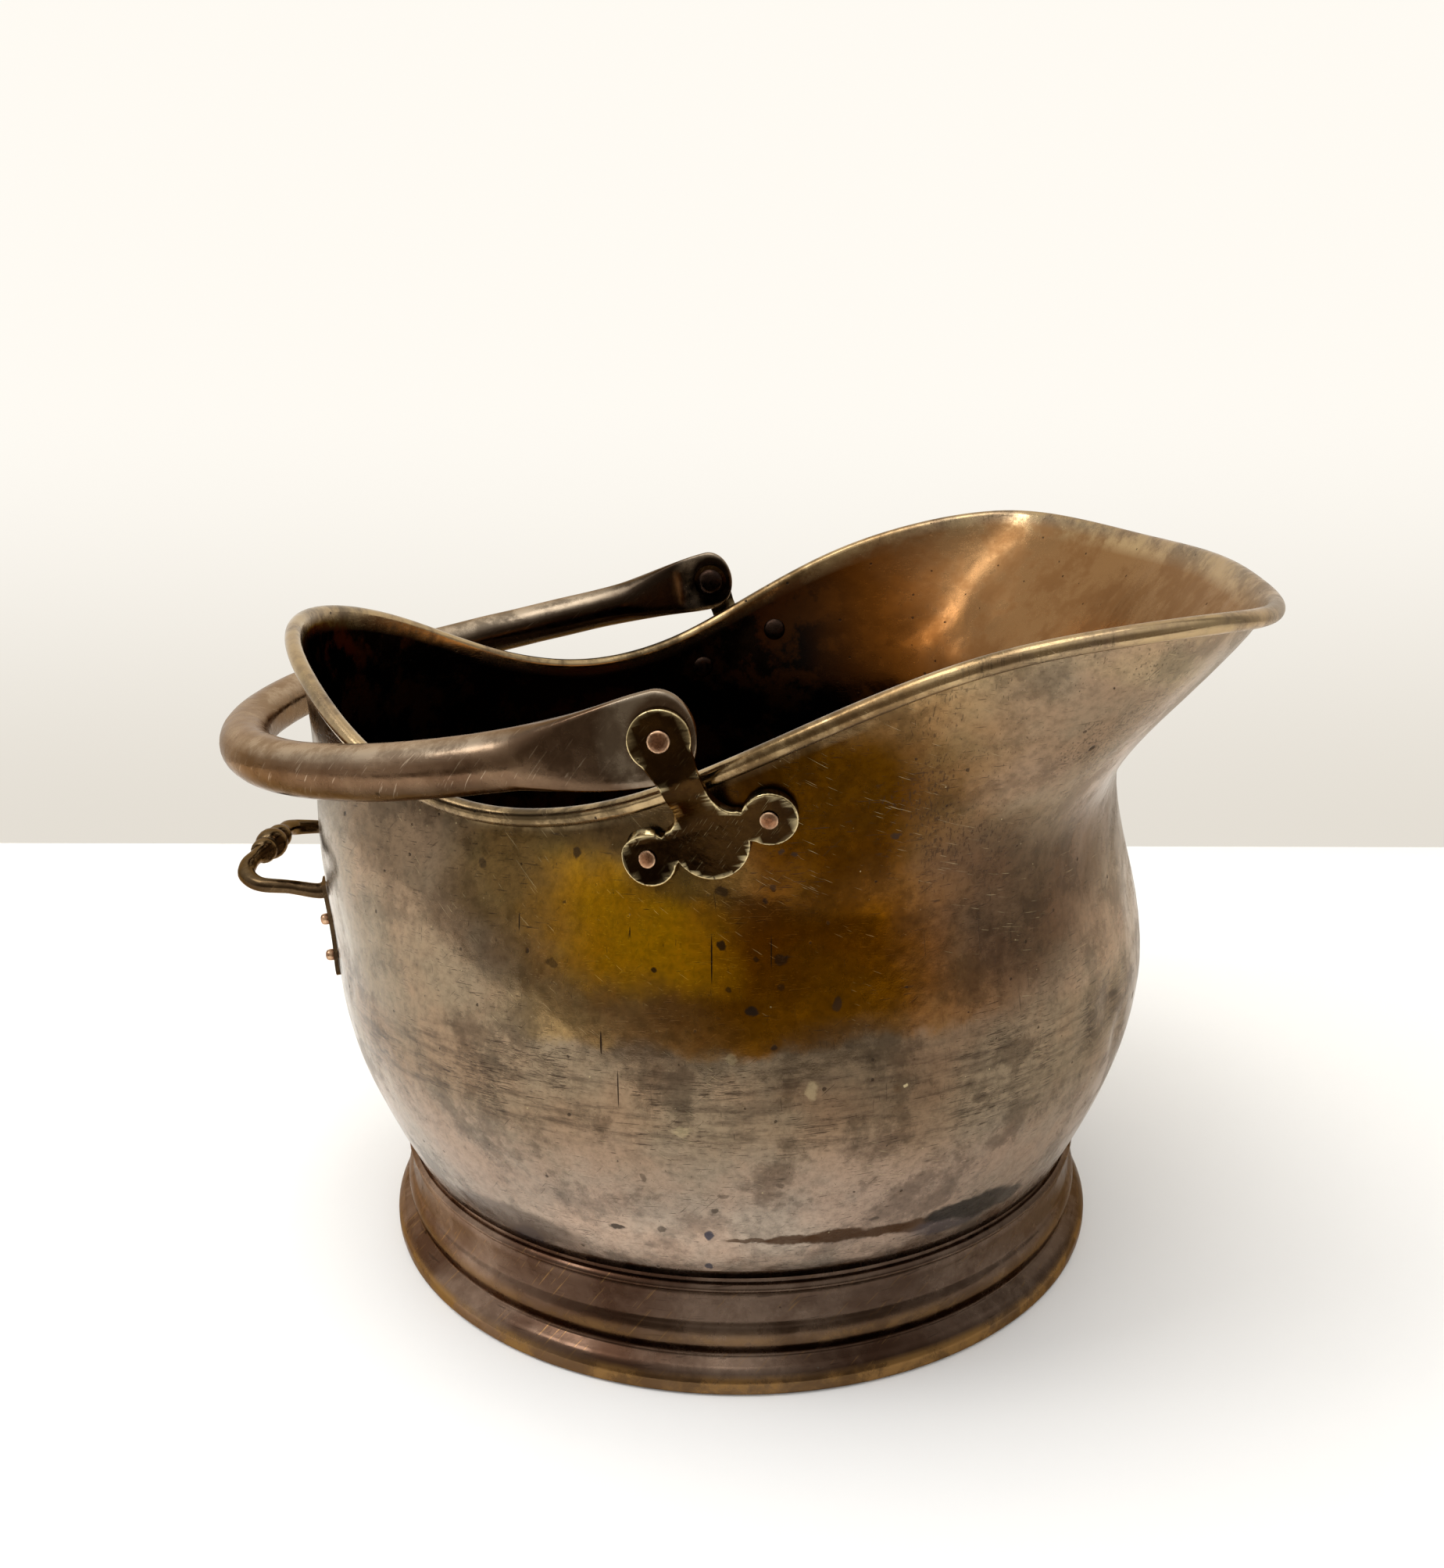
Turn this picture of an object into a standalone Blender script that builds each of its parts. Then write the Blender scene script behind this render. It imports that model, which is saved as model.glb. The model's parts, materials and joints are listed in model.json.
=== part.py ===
# Helmet coal scuttle in copper: a raised body with a wired edge stands on a spun foot,
# a tubular bail swings in two riveted lugs, and a small handle is riveted to the back.
# Lengths are in metres. The origin lies under the middle of the overall outline, level with
# the foot's underside; +X points to the spout, +Y to the left of someone who looks that way
# and +Z up. Shapes are set out from the foot's axis, which stands a little ahead of the origin.

import bpy
import bmesh
import numpy as np
from math import acos, asin, atan2, cos, exp, hypot, pi, radians, sin, sqrt, tan
from mathutils import Matrix, Vector

# Sheet, gaps and facets
SHEET = 0.0010
CLEARANCE = 0.0003
FACET_ROOM = 0.0002
FACETS_AROUND = 68
BELLY_ROWS = 4
SHOULDER_ROWS = 3
RIM_ROWS = 5
CURL_FACETS = 6
NUDGE_SHARE = 0.25
SMOOTH_ANGLE = radians(35)
WELD_DISTANCE = 0.00002
CUT_OVERRUN = 0.0040
TRIM_HALF_DEPTH = 0.0160
DRILL_LENGTH = 0.0160

# Body wall: radii of the middle of the sheet, each set out from the one below it
BODY_BOTTOM_RADIUS = 0.1175
BODY_BOTTOM_FLARE = radians(25)
BELLY_SWELL = 0.0198
NECK_FRONT_DRAW = 0.0123
NECK_SIDE_DRAW = 0.0028
NECK_BACK_SPREAD = 0.0035
BELLY_RADIUS = BODY_BOTTOM_RADIUS + BELLY_SWELL
NECK_FRONT_RADIUS = BELLY_RADIUS - NECK_FRONT_DRAW
NECK_SIDE_RADIUS = BELLY_RADIUS - NECK_SIDE_DRAW
NECK_BACK_RADIUS = BELLY_RADIUS + NECK_BACK_SPREAD
NECK_LEAN = radians(-1.1)
NECK_FRONT_POWER = 3.4
SIDE_POWER = 1.6
RIM_FRONT_FLARE = radians(33.4)
RIM_SIDE_FLARE = radians(6.8)
RIM_BACK_FLARE = radians(5.7)
WAIST_TURN = radians(112)
WAIST_SPREAD = radians(25)
WAIST_DRAW = 0.0050
WAIST_LEAN = radians(16)

# Foot ring, from the flange that carries the body down to the rolled hem; its radii are
# set out from the body's bottom edge, which it holds
FOOT_AXIS_X = 0.0038
FOOT_HEIGHT = 0.0352
FOOT_NECK_STEP = 0.0003
FOOT_FLANGE_WIDTH = 0.0138
FOOT_NECK_DEPTH = 0.0015
ROLL_LENGTH = 0.0032
ROLL_SWELL = 0.0014
COVE_STEP = 0.0012
COVE_LENGTH = 0.0100
COVE_DEPTH = 0.0005
TORUS_LENGTH = 0.0094
TORUS_SWELL = 0.0015
GROOVE_STEP = 0.0002
GROOVE_WIDTH = 0.0014
FLARE_RADIUS_SHARE = 0.62
FLARE_DROP_SHARE = 0.48
HEM_REACH = 0.0058
HEM_HEIGHT = 0.0054
HEM_WIDTH = 0.0040
HEM_ROUND = 0.0012
FOOT_FACETS = 48
FOOT_NECK_RADIUS = BODY_BOTTOM_RADIUS + FOOT_NECK_STEP
FOOT_FLANGE_RADIUS = FOOT_NECK_RADIUS - FOOT_FLANGE_WIDTH
COVE_RADIUS = FOOT_NECK_RADIUS + COVE_STEP
GROOVE_RADIUS = COVE_RADIUS + GROOVE_STEP
FOOT_RADIUS = GROOVE_RADIUS + HEM_REACH

# Heights of the wall, set out upward from the foot
BELLY_RISE = 0.0655
NECK_FRONT_RISE = 0.0690
NECK_SIDE_RISE = 0.0490
NECK_BACK_RISE = 0.0460
BODY_BOTTOM = FOOT_HEIGHT + CLEARANCE
BELLY_HEIGHT = BODY_BOTTOM + BELLY_RISE
NECK_FRONT_HEIGHT = BELLY_HEIGHT + NECK_FRONT_RISE
NECK_SIDE_HEIGHT = BELLY_HEIGHT + NECK_SIDE_RISE
NECK_BACK_HEIGHT = BELLY_HEIGHT + NECK_BACK_RISE

# Wired edge: how far the wire's centre stands out from the neck, or in from it at the waist,
# and how high the bead's top stands over the neck
WIRE_RADIUS = 0.0013
CURL_TURN = radians(280)
SPOUT_OVERHANG = 0.0530
WAIST_INSET = 0.0113
BACK_OVERHANG = 0.0059
SPOUT_RISE = 0.0619
WAIST_RISE = 0.0256
BACK_RISE = 0.0656
SPOUT_REACH = NECK_FRONT_RADIUS + SPOUT_OVERHANG
WAIST_REACH = NECK_SIDE_RADIUS - WAIST_INSET
BACK_REACH = NECK_BACK_RADIUS + BACK_OVERHANG
SPOUT_HEIGHT = NECK_FRONT_HEIGHT + SPOUT_RISE
WAIST_HEIGHT = NECK_SIDE_HEIGHT + WAIST_RISE
BACK_HEIGHT = NECK_BACK_HEIGHT + BACK_RISE
CURL_RADIUS = WIRE_RADIUS + CLEARANCE + SHEET / 2
BEAD_RADIUS = CURL_RADIUS + SHEET / 2

# Each row holds a turn from the spout as a share of the half turn to the back, then the
# rise from the waist to the spout, or to the back, as shares of the reach and of the height
SPOUT_EDGE_SHARES = (
    (0.000, 0.67, 0.957),
    (0.083, 0.73, 0.947),
    (0.167, 0.905, 0.941),
    (0.233, 1.00, 0.984),
    (0.289, 0.96, 1.000),
    (0.350, 0.67, 0.900),
    (0.417, 0.467, 0.698),
    (0.489, 0.263, 0.401),
    (0.556, 0.080, 0.162),
    (0.622, 0.000, 0.028),
)
BACK_EDGE_SHARES = (
    (0.689, 0.077, 0.000),
    (0.778, 0.387, 0.233),
    (0.872, 0.716, 0.701),
    (1.000, 1.000, 1.000),
)

# Bottom plate, dropped inside the wall onto the foot's flange
PLATE_RISE = 0.0070
PLATE_FACETS = 36

# Lug: a leaf of three lobes, a neck and a round ear, in its own tilted axes; its middle is
# level with a place over the neck of the wall, and the pivot is set back and up from there
LUG_X = -0.0030
LUG_RISE = 0.0245
LUG_TILT = radians(22)
LUG_THICKNESS = 0.0025
LUG_CENTRE_RADIUS = 0.0103
LUG_LOBE_RADIUS = 0.0073
FRONT_LOBE_OFFSET = 0.0168
FRONT_LOBE_RISE = 0.0012
REAR_LOBE_OFFSET = 0.0173
REAR_LOBE_RISE = 0.0001
LUG_NOTCH_OFFSET = 0.0099
LUG_UPPER_NOTCH = 0.0060
LUG_LOWER_NOTCH = -0.0029
LUG_NECK_HALF_WIDTH = 0.0052
LUG_NECK_BOTTOM = 0.0140
LUG_NECK_TOP = 0.0195
LUG_EAR_RADIUS = 0.0080
LUG_EAR_START = radians(-35)
LUG_ARC_STEPS = 3
LUG_LOBE_STEPS = 8
LUG_EAR_STEPS = 5
LUG_BEND_BOTTOM = 0.0040
LUG_BEND_TOP = 0.0200
LUG_COLUMNS = 8
LUG_LEVELS = 13
LUG_LEVEL_POWER = 1.25
PIVOT_SET_BACK = 0.0120
PIVOT_RISE = 0.0285
LUG_HEIGHT = NECK_SIDE_HEIGHT + LUG_RISE
PIVOT_X = LUG_X - PIVOT_SET_BACK
PIVOT_HEIGHT = LUG_HEIGHT + PIVOT_RISE

# Bail: a tube bent to a broad half ellipse, flattened to a paddle at each pivot. The paddles
# stand off the neck of the wall, and the loop passes behind the back of the wired edge
PADDLE_STANDOFF = 0.0040
PADDLE_SPREAD = 0.0065
BAIL_BACK_ROOM = 0.0168
PADDLE_OFFSET = NECK_SIDE_RADIUS + PADDLE_STANDOFF
BAIL_HALF_WIDTH = PADDLE_OFFSET - PADDLE_SPREAD
BAIL_REACH = BACK_REACH + BAIL_BACK_ROOM + PIVOT_X
BAIL_ROUND_POWER = 2.14
BAIL_DROOP = radians(9.75)
BAIL_SAG = 0.0024
BAIL_RADIUS = 0.0079
PADDLE_THICKNESS = 0.0045
PADDLE_HEIGHT = 0.0240
PADDLE_OVERHANG = 0.0092
PADDLE_LENGTH = 0.0110
PADDLE_TAPER = 0.0250
FLATTENING_LENGTH = 0.0300
FLATTENING_STEPS = 5
LOOP_STEPS = 13
BAIL_SIDES = 14
PADDLE_END_STEPS = 4
PADDLE_END_SPAN = radians(76)
PADDLE_POWER = 4.5
ROUND_POWER = 2.0

# Pivot rivets and the washers under their inner heads
PIVOT_SHANK_RADIUS = 0.0025
PIVOT_HEAD_RADIUS = 0.0029
PIVOT_HEAD_HEIGHT = 0.0011
PIVOT_BOSS_RADIUS = 0.0052
PIVOT_BOSS_HEIGHT = 0.0020
WASHER_RADIUS = 0.0068
WASHER_THICKNESS = 0.0006
PIVOT_FACETS = 14

# Rivets that hold the lugs and the rear handle
LUG_RIVET_SHANK = 0.0017
LUG_RIVET_HEAD = 0.0024
LUG_RIVET_HEAD_HEIGHT = 0.0008
LUG_RIVET_BOSS = 0.0045
LUG_RIVET_BOSS_HEIGHT = 0.0014
STRAP_RIVET_SHANK = 0.0013
STRAP_RIVET_HEAD = 0.0019
STRAP_RIVET_HEAD_HEIGHT = 0.0026
STRAP_RIVET_BOSS = 0.0035
STRAP_RIVET_BOSS_HEIGHT = 0.0010
INNER_HEAD_SEAT = 0.0005
RIVET_DOME_SHARE = 0.6
RIVET_FACETS = 10

# Rear handle: two straps on the wall under the neck, a bent bar and a turned knop
HANDLE_HALF_SPAN = 0.0325
HANDLE_ROOT_DROP = 0.0229
STRAP_THICKNESS = 0.0014
STRAP_HALF_WIDTH = 0.0050
STRAP_HEAD = 0.0031
STRAP_TAIL = 0.0071
STRAP_RIVET_SPACING = 0.0131
STRAP_RIVET_DROP = 0.0104
STRAP_STEPS = 8
STRAP_END_POWER = 1.5
STRAP_ACROSS_SHARES = (-1, -0.4, 0.4, 1)
STRAP_TURN = pi - asin(HANDLE_HALF_SPAN / NECK_BACK_RADIUS)
HANDLE_ROOT_HEIGHT = NECK_BACK_HEIGHT - HANDLE_ROOT_DROP
STRAP_TOP = HANDLE_ROOT_HEIGHT + STRAP_HEAD
STRAP_BOTTOM = HANDLE_ROOT_HEIGHT - STRAP_RIVET_DROP - STRAP_RIVET_SPACING - STRAP_TAIL
HANDLE_STUB = 0.0030
HANDLE_OUTREACH = 0.0292
HANDLE_RISE = 0.0053
HANDLE_ROOT_RADIUS = 0.0029
HANDLE_STUB_SHARE = 0.6
HANDLE_ARM_RADIUS = 0.0023
HANDLE_CORNER_RADIUS = 0.0029
KNOP_BACK_SHARE = 0.985
KNOP_RADIUS = 0.0055
KNOP_HALF_LENGTH = 0.0048
KNOP_BEAD_RADIUS = 0.0044
KNOP_BEAD_HALF_LENGTH = 0.0031
KNOP_BEAD_STEP_SHARE = 0.33
KNOP_STEP_SHARES = (1, 0.85, 0.45)
KNOP_NECK_RADIUS = 0.0031

# Way of the bar from the strap to the knop, as shares of the outreach, half span and rise
HANDLE_WAY_SHARES = (
    (0.42, 1.000, 0.15),
    (0.76, 0.985, 0.28),
    (0.97, 0.830, 0.55),
    (1.02, 0.640, 0.85),
    (1.01, 0.460, 0.97),
)
# Radius of the bar at those places, as shares of the change from the arm to the corner
HANDLE_SWELL_SHARES = (0.0, 0.3, 1.0, 1.0, 0.4)

# Faces of the stack at each pivot, from the washer out to the ear
WASHER_OUTER_FACE = PADDLE_OFFSET - PADDLE_THICKNESS / 2 - CLEARANCE
WASHER_INNER_FACE = WASHER_OUTER_FACE - WASHER_THICKNESS
EAR_INNER_FACE = PADDLE_OFFSET + PADDLE_THICKNESS / 2 + CLEARANCE
EAR_OUTER_FACE = EAR_INNER_FACE + LUG_THICKNESS
SIDES = {"left": 1, "right": -1}


def clear_scene():
    """Removes whatever objects the open file holds."""
    for item in list(bpy.data.objects):
        bpy.data.objects.remove(item, do_unlink=True)


def make_collection(name):
    collection = bpy.data.collections.new(name)
    bpy.context.scene.collection.children.link(collection)
    return collection


def make_material(name, colour, roughness, metallic):
    material = bpy.data.materials.new(name)
    material.use_nodes = True
    shader = material.node_tree.nodes["Principled BSDF"]
    shader.inputs["Base Color"].default_value = (*colour, 1)
    shader.inputs["Roughness"].default_value = roughness
    shader.inputs["Metallic"].default_value = metallic
    material.diffuse_color = (*colour, 1)
    return material


def place(name, data, collection, material=None):
    """Links an object that holds the given data."""
    item = bpy.data.objects.new(name, data)
    collection.objects.link(item)
    if material:
        data.materials.append(material)
    return item


def finish_mesh(work, name):
    """Turns a bmesh into a smooth shaded mesh with its normals outward."""
    bmesh.ops.recalc_face_normals(work, faces=work.faces)
    mesh = bpy.data.meshes.new(name)
    work.to_mesh(mesh)
    work.free()
    mesh.shade_smooth()
    mesh.set_sharp_from_angle(angle=SMOOTH_ANGLE)
    return mesh


def surface_mesh(name, rows, closed):
    """Mesh of quads through rows of points; a closed surface joins its last row to the first."""
    work = bmesh.new()
    grid = [[work.verts.new(point) for point in row] for row in rows]
    pairs = list(zip(grid, grid[1:]))
    if closed:
        pairs.append((grid[-1], grid[0]))
    for row, following in pairs:
        for i in range(len(row) - 1):
            work.faces.new((row[i], following[i], following[i + 1], row[i + 1]))
    mesh = bpy.data.meshes.new(name)
    work.to_mesh(mesh)
    work.free()
    mesh.shade_smooth()
    return mesh


def loft_mesh(name, rings):
    """Closed mesh through rings of points, with a flat cap at each end."""
    work = bmesh.new()
    grid = [[work.verts.new(point) for point in ring] for ring in rings]
    for ring, following in zip(grid, grid[1:]):
        for i in range(len(ring)):
            after = (i + 1) % len(ring)
            work.faces.new((ring[i], ring[after], following[after], following[i]))
    work.faces.new(grid[0])
    work.faces.new(grid[-1])
    return finish_mesh(work, name)


def turned(name, profile, facets, collection, material, closed=False):
    """Solid turned about Z from a profile of (radius, height) points, read top to bottom."""
    work = bmesh.new()
    points = [work.verts.new((radius, 0, height)) for radius, height in profile]
    for upper, lower in zip(points, points[1:]):
        work.edges.new((upper, lower))
    if closed:
        work.edges.new((points[-1], points[0]))
    mesh = bpy.data.meshes.new(name)
    work.to_mesh(mesh)
    work.free()
    item = place(name, mesh, collection, material)
    screw = item.modifiers.new("turn", "SCREW")
    screw.steps = facets
    screw.render_steps = facets
    screw.use_merge_vertices = True
    screw.merge_threshold = WELD_DISTANCE
    return item


def tube(name, points, radii, collection, material=None, cyclic=False, resolution=1):
    """Curve object through points, as thick as the radii say."""
    curve = bpy.data.curves.new(name, "CURVE")
    curve.dimensions = "3D"
    curve.bevel_depth = max(radii)
    curve.bevel_resolution = resolution
    curve.use_fill_caps = not cyclic
    spline = curve.splines.new("POLY")
    spline.points.add(len(points) - 1)
    spline.use_cyclic_u = cyclic
    for node, point, radius in zip(spline.points, points, radii):
        node.co = (*point, 1)
        node.radius = radius / max(radii)
    return place(name, curve, collection, material)


def as_mesh(item, collection):
    """Replaces a curve object by a closed mesh object of the same name and place."""
    name = item.name
    graph = bpy.context.evaluated_depsgraph_get()
    mesh = bpy.data.meshes.new_from_object(item.evaluated_get(graph))
    work = bmesh.new()
    work.from_mesh(mesh)
    bmesh.ops.remove_doubles(work, verts=work.verts, dist=WELD_DISTANCE)
    bmesh.ops.recalc_face_normals(work, faces=work.faces)
    work.to_mesh(mesh)
    work.free()
    matrix = item.matrix_world.copy()
    bpy.data.objects.remove(item, do_unlink=True)
    solid = place(name, mesh, collection)
    solid.matrix_world = matrix
    return solid


def mark_as_cutter(item):
    item.hide_render = True
    item.display_type = "WIRE"


def solidify(item, thickness):
    shell = item.modifiers.new("sheet", "SOLIDIFY")
    shell.thickness = thickness
    shell.offset = 0
    shell.use_even_offset = True


def combine(item, other, operation):
    step = item.modifiers.new(operation.lower(), "BOOLEAN")
    step.operation = operation
    step.object = other


def drill_mesh(name, drills):
    """One mesh of round bars, one for each (centre, direction, radius, length, facets)."""
    work = bmesh.new()
    for centre, direction, radius, length, facets in drills:
        turn = Vector(direction).to_track_quat("Z", "Y").to_matrix().to_4x4()
        bmesh.ops.create_cone(
            work,
            cap_ends=True,
            segments=facets,
            radius1=radius,
            radius2=radius,
            depth=length,
            matrix=Matrix.Translation(centre) @ turn,
        )
    return finish_mesh(work, name)


def aim(item, centre, direction):
    """Moves an object to a centre and turns its Z axis to a direction."""
    turn = Vector(direction).to_track_quat("Z", "Y").to_matrix().to_4x4()
    item.matrix_world = Matrix.Translation(centre) @ turn


def between(start, end, share):
    return start + (end - start) * share


def ease(share):
    """Smooth step from 0 to 1, level at both ends."""
    share = min(1, max(0, share))
    return share * share * (3 - 2 * share)


def hermite(start, end, start_slope, end_slope, share):
    """Cubic from start to end, with both slopes given per whole span."""
    rest = 1 - share
    ends = start * rest * rest * (1 + 2 * share) + end * share * share * (3 - 2 * share)
    return ends + start_slope * share * rest * rest - end_slope * share * share * rest


def blend(front, side, back, turn, front_power):
    """Value at a turn from the spout, between its values at the front, side and back."""
    forward = cos(turn)
    if forward > 0:
        return between(side, front, forward ** front_power)
    return between(side, back, (-forward) ** SIDE_POWER)


def spline_slopes(knots, values):
    """Slopes of the cubic spline that is level at both ends."""
    gaps = np.diff(knots)
    climbs = np.diff(values) / gaps
    matrix = np.eye(len(knots))
    target = np.zeros(len(knots))
    for i in range(1, len(knots) - 1):
        matrix[i, i - 1] = gaps[i]
        matrix[i, i] = 2 * (gaps[i - 1] + gaps[i])
        matrix[i, i + 1] = gaps[i - 1]
        target[i] = 3 * (gaps[i] * climbs[i - 1] + gaps[i - 1] * climbs[i])
    return np.linalg.solve(matrix, target)


def spline_value(knots, values, slopes, where):
    """Value of the spline at one place between its knots."""
    i = min(int(np.searchsorted(knots, where, side="right")) - 1, len(knots) - 2)
    span = knots[i + 1] - knots[i]
    share = (where - knots[i]) / span
    return hermite(values[i], values[i + 1], slopes[i] * span, slopes[i + 1] * span, share)


def edge_stations():
    """Turns, reaches and heights of the wired edge at its stations."""
    turns, reaches, heights = [], [], []
    parts = (
        (SPOUT_EDGE_SHARES, SPOUT_REACH, SPOUT_HEIGHT),
        (BACK_EDGE_SHARES, BACK_REACH, BACK_HEIGHT),
    )
    for table, reach, height in parts:
        for turn_share, reach_share, height_share in table:
            turns.append(pi * turn_share)
            reaches.append(between(WAIST_REACH, reach, reach_share))
            heights.append(between(WAIST_HEIGHT, height, height_share))
    return np.array(turns), np.array(reaches), np.array(heights)


EDGE_TURNS, EDGE_REACHES, EDGE_HEIGHTS = edge_stations()
REACH_SLOPES = spline_slopes(EDGE_TURNS, EDGE_REACHES)
HEIGHT_SLOPES = spline_slopes(EDGE_TURNS, EDGE_HEIGHTS)


def wire_point(turn):
    """Centre of the rim wire at a turn about Z from the spout."""
    folded = abs((turn + pi) % (2 * pi) - pi)
    reach = spline_value(EDGE_TURNS, EDGE_REACHES, REACH_SLOPES, folded)
    top = spline_value(EDGE_TURNS, EDGE_HEIGHTS, HEIGHT_SLOPES, folded)
    return Vector((reach * cos(turn), reach * sin(turn), top - BEAD_RADIUS))


def waist_share(turn):
    """1 where the mouth is narrowest, falling smoothly to 0 on either side of it."""
    folded = abs((turn + pi) % (2 * pi) - pi)
    return exp(-((folded - WAIST_TURN) / WAIST_SPREAD) ** 2)


def rim_slope(turn):
    """How far the wall leans out for each metre that it climbs, just under the wire."""
    flare = blend(RIM_FRONT_FLARE, RIM_SIDE_FLARE, RIM_BACK_FLARE, turn, SIDE_POWER)
    return tan(flare - WAIST_LEAN * waist_share(turn))


def rim_frame(turn):
    """Wire centre, and the outward and upward directions square to the wire."""
    nudge = NUDGE_SHARE * pi / FACETS_AROUND
    along = (wire_point(turn + nudge) - wire_point(turn - nudge)).normalized()
    slope = rim_slope(turn)
    climb = Vector((slope * cos(turn), slope * sin(turn), 1))
    outward = along.cross(climb).normalized()
    upward = outward.cross(along).normalized()
    return wire_point(turn), outward, upward


def wall_top(turn):
    """Where the sheet leaves the wall and starts to curl over the wire."""
    centre, outward, upward = rim_frame(turn)
    return centre - outward * CURL_RADIUS


def neck(turn):
    """Radius, height and lean of the neck."""
    radius = blend(NECK_FRONT_RADIUS, NECK_SIDE_RADIUS, NECK_BACK_RADIUS, turn, NECK_FRONT_POWER)
    height = blend(NECK_FRONT_HEIGHT, NECK_SIDE_HEIGHT, NECK_BACK_HEIGHT, turn, NECK_FRONT_POWER)
    lean = blend(0, NECK_LEAN, NECK_LEAN, turn, SIDE_POWER) - WAIST_LEAN * waist_share(turn)
    return radius - WAIST_DRAW * waist_share(turn), height, tan(lean)


def wall_radius(turn, height):
    """Radius of the middle of the sheet at a turn and a height."""
    neck_radius, neck_height, neck_lean = neck(turn)
    if height < BELLY_HEIGHT:
        span = BELLY_HEIGHT - BODY_BOTTOM
        slope = tan(BODY_BOTTOM_FLARE) * span
        share = (height - BODY_BOTTOM) / span
        return hermite(BODY_BOTTOM_RADIUS, BELLY_RADIUS, slope, 0, share)
    if height < neck_height:
        span = neck_height - BELLY_HEIGHT
        share = (height - BELLY_HEIGHT) / span
        return hermite(BELLY_RADIUS, neck_radius, 0, neck_lean * span, share)
    top = wall_top(turn)
    span = top.z - neck_height
    share = min(1, (height - neck_height) / span)
    slope = rim_slope(turn) * span
    return hermite(neck_radius, hypot(top.x, top.y), neck_lean * span, slope, share)


def wall_column(turn):
    """Points of the middle of the sheet at a turn, from the bottom edge over the wire."""
    top = wall_top(turn)
    neck_height = neck(turn)[1]
    drift = atan2(top.y, top.x) - turn
    drift = (drift + pi) % (2 * pi) - pi
    levels = (
        (BODY_BOTTOM, BELLY_HEIGHT, BELLY_ROWS, 0),
        (BELLY_HEIGHT, neck_height, SHOULDER_ROWS, 0),
        (neck_height, top.z, RIM_ROWS, 1),
    )
    column = []
    for low, high, steps, drifts in levels:
        for step in range(steps):
            share = step / steps
            height = between(low, high, share)
            radius = wall_radius(turn, height)
            bearing = turn + drift * drifts * share * share
            column.append(Vector((radius * cos(bearing), radius * sin(bearing), height)))
    centre, outward, upward = rim_frame(turn)
    for step in range(CURL_FACETS + 1):
        angle = CURL_TURN * step / CURL_FACETS
        column.append(centre + CURL_RADIUS * (upward * sin(angle) - outward * cos(angle)))
    return column


def side_reach(x, height):
    """Distance in Y from the middle plane to the middle of the wall's sheet."""
    reach = NECK_SIDE_RADIUS
    for attempt in range(6):
        radius = wall_radius(atan2(reach, x), height)
        reach = sqrt(radius * radius - x * x)
    return reach


def slopes(reach_at, x, height):
    """How a distance in Y changes with X and with Z."""
    step = SHEET
    slope_x = (reach_at(x + step, height) - reach_at(x - step, height)) / (2 * step)
    slope_z = (reach_at(x, height + step) - reach_at(x, height - step)) / (2 * step)
    return slope_x, slope_z


def around(count):
    return [2 * pi * step / count for step in range(count)]


def build_body(collection, material, drills):
    rows = [wall_column(turn) for turn in around(FACETS_AROUND)]
    body = place("body_shell", surface_mesh("body_shell", rows, True), collection, material)
    solidify(body, SHEET)
    combine(body, drills, "DIFFERENCE")
    return body


def build_wire(collection, material):
    points = [wire_point(turn) for turn in around(FACETS_AROUND)]
    radii = [WIRE_RADIUS] * FACETS_AROUND
    wire = tube("rim_wire", points, radii, collection, material, cyclic=True)
    return wire


def bulge(top, bottom, base, swell, steps):
    """Points of a moulding that swells from its base radius between two heights."""
    points = []
    for step in range(steps + 1):
        share = step / steps
        points.append((base + swell * sin(pi * share), between(top, bottom, share)))
    return points


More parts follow.
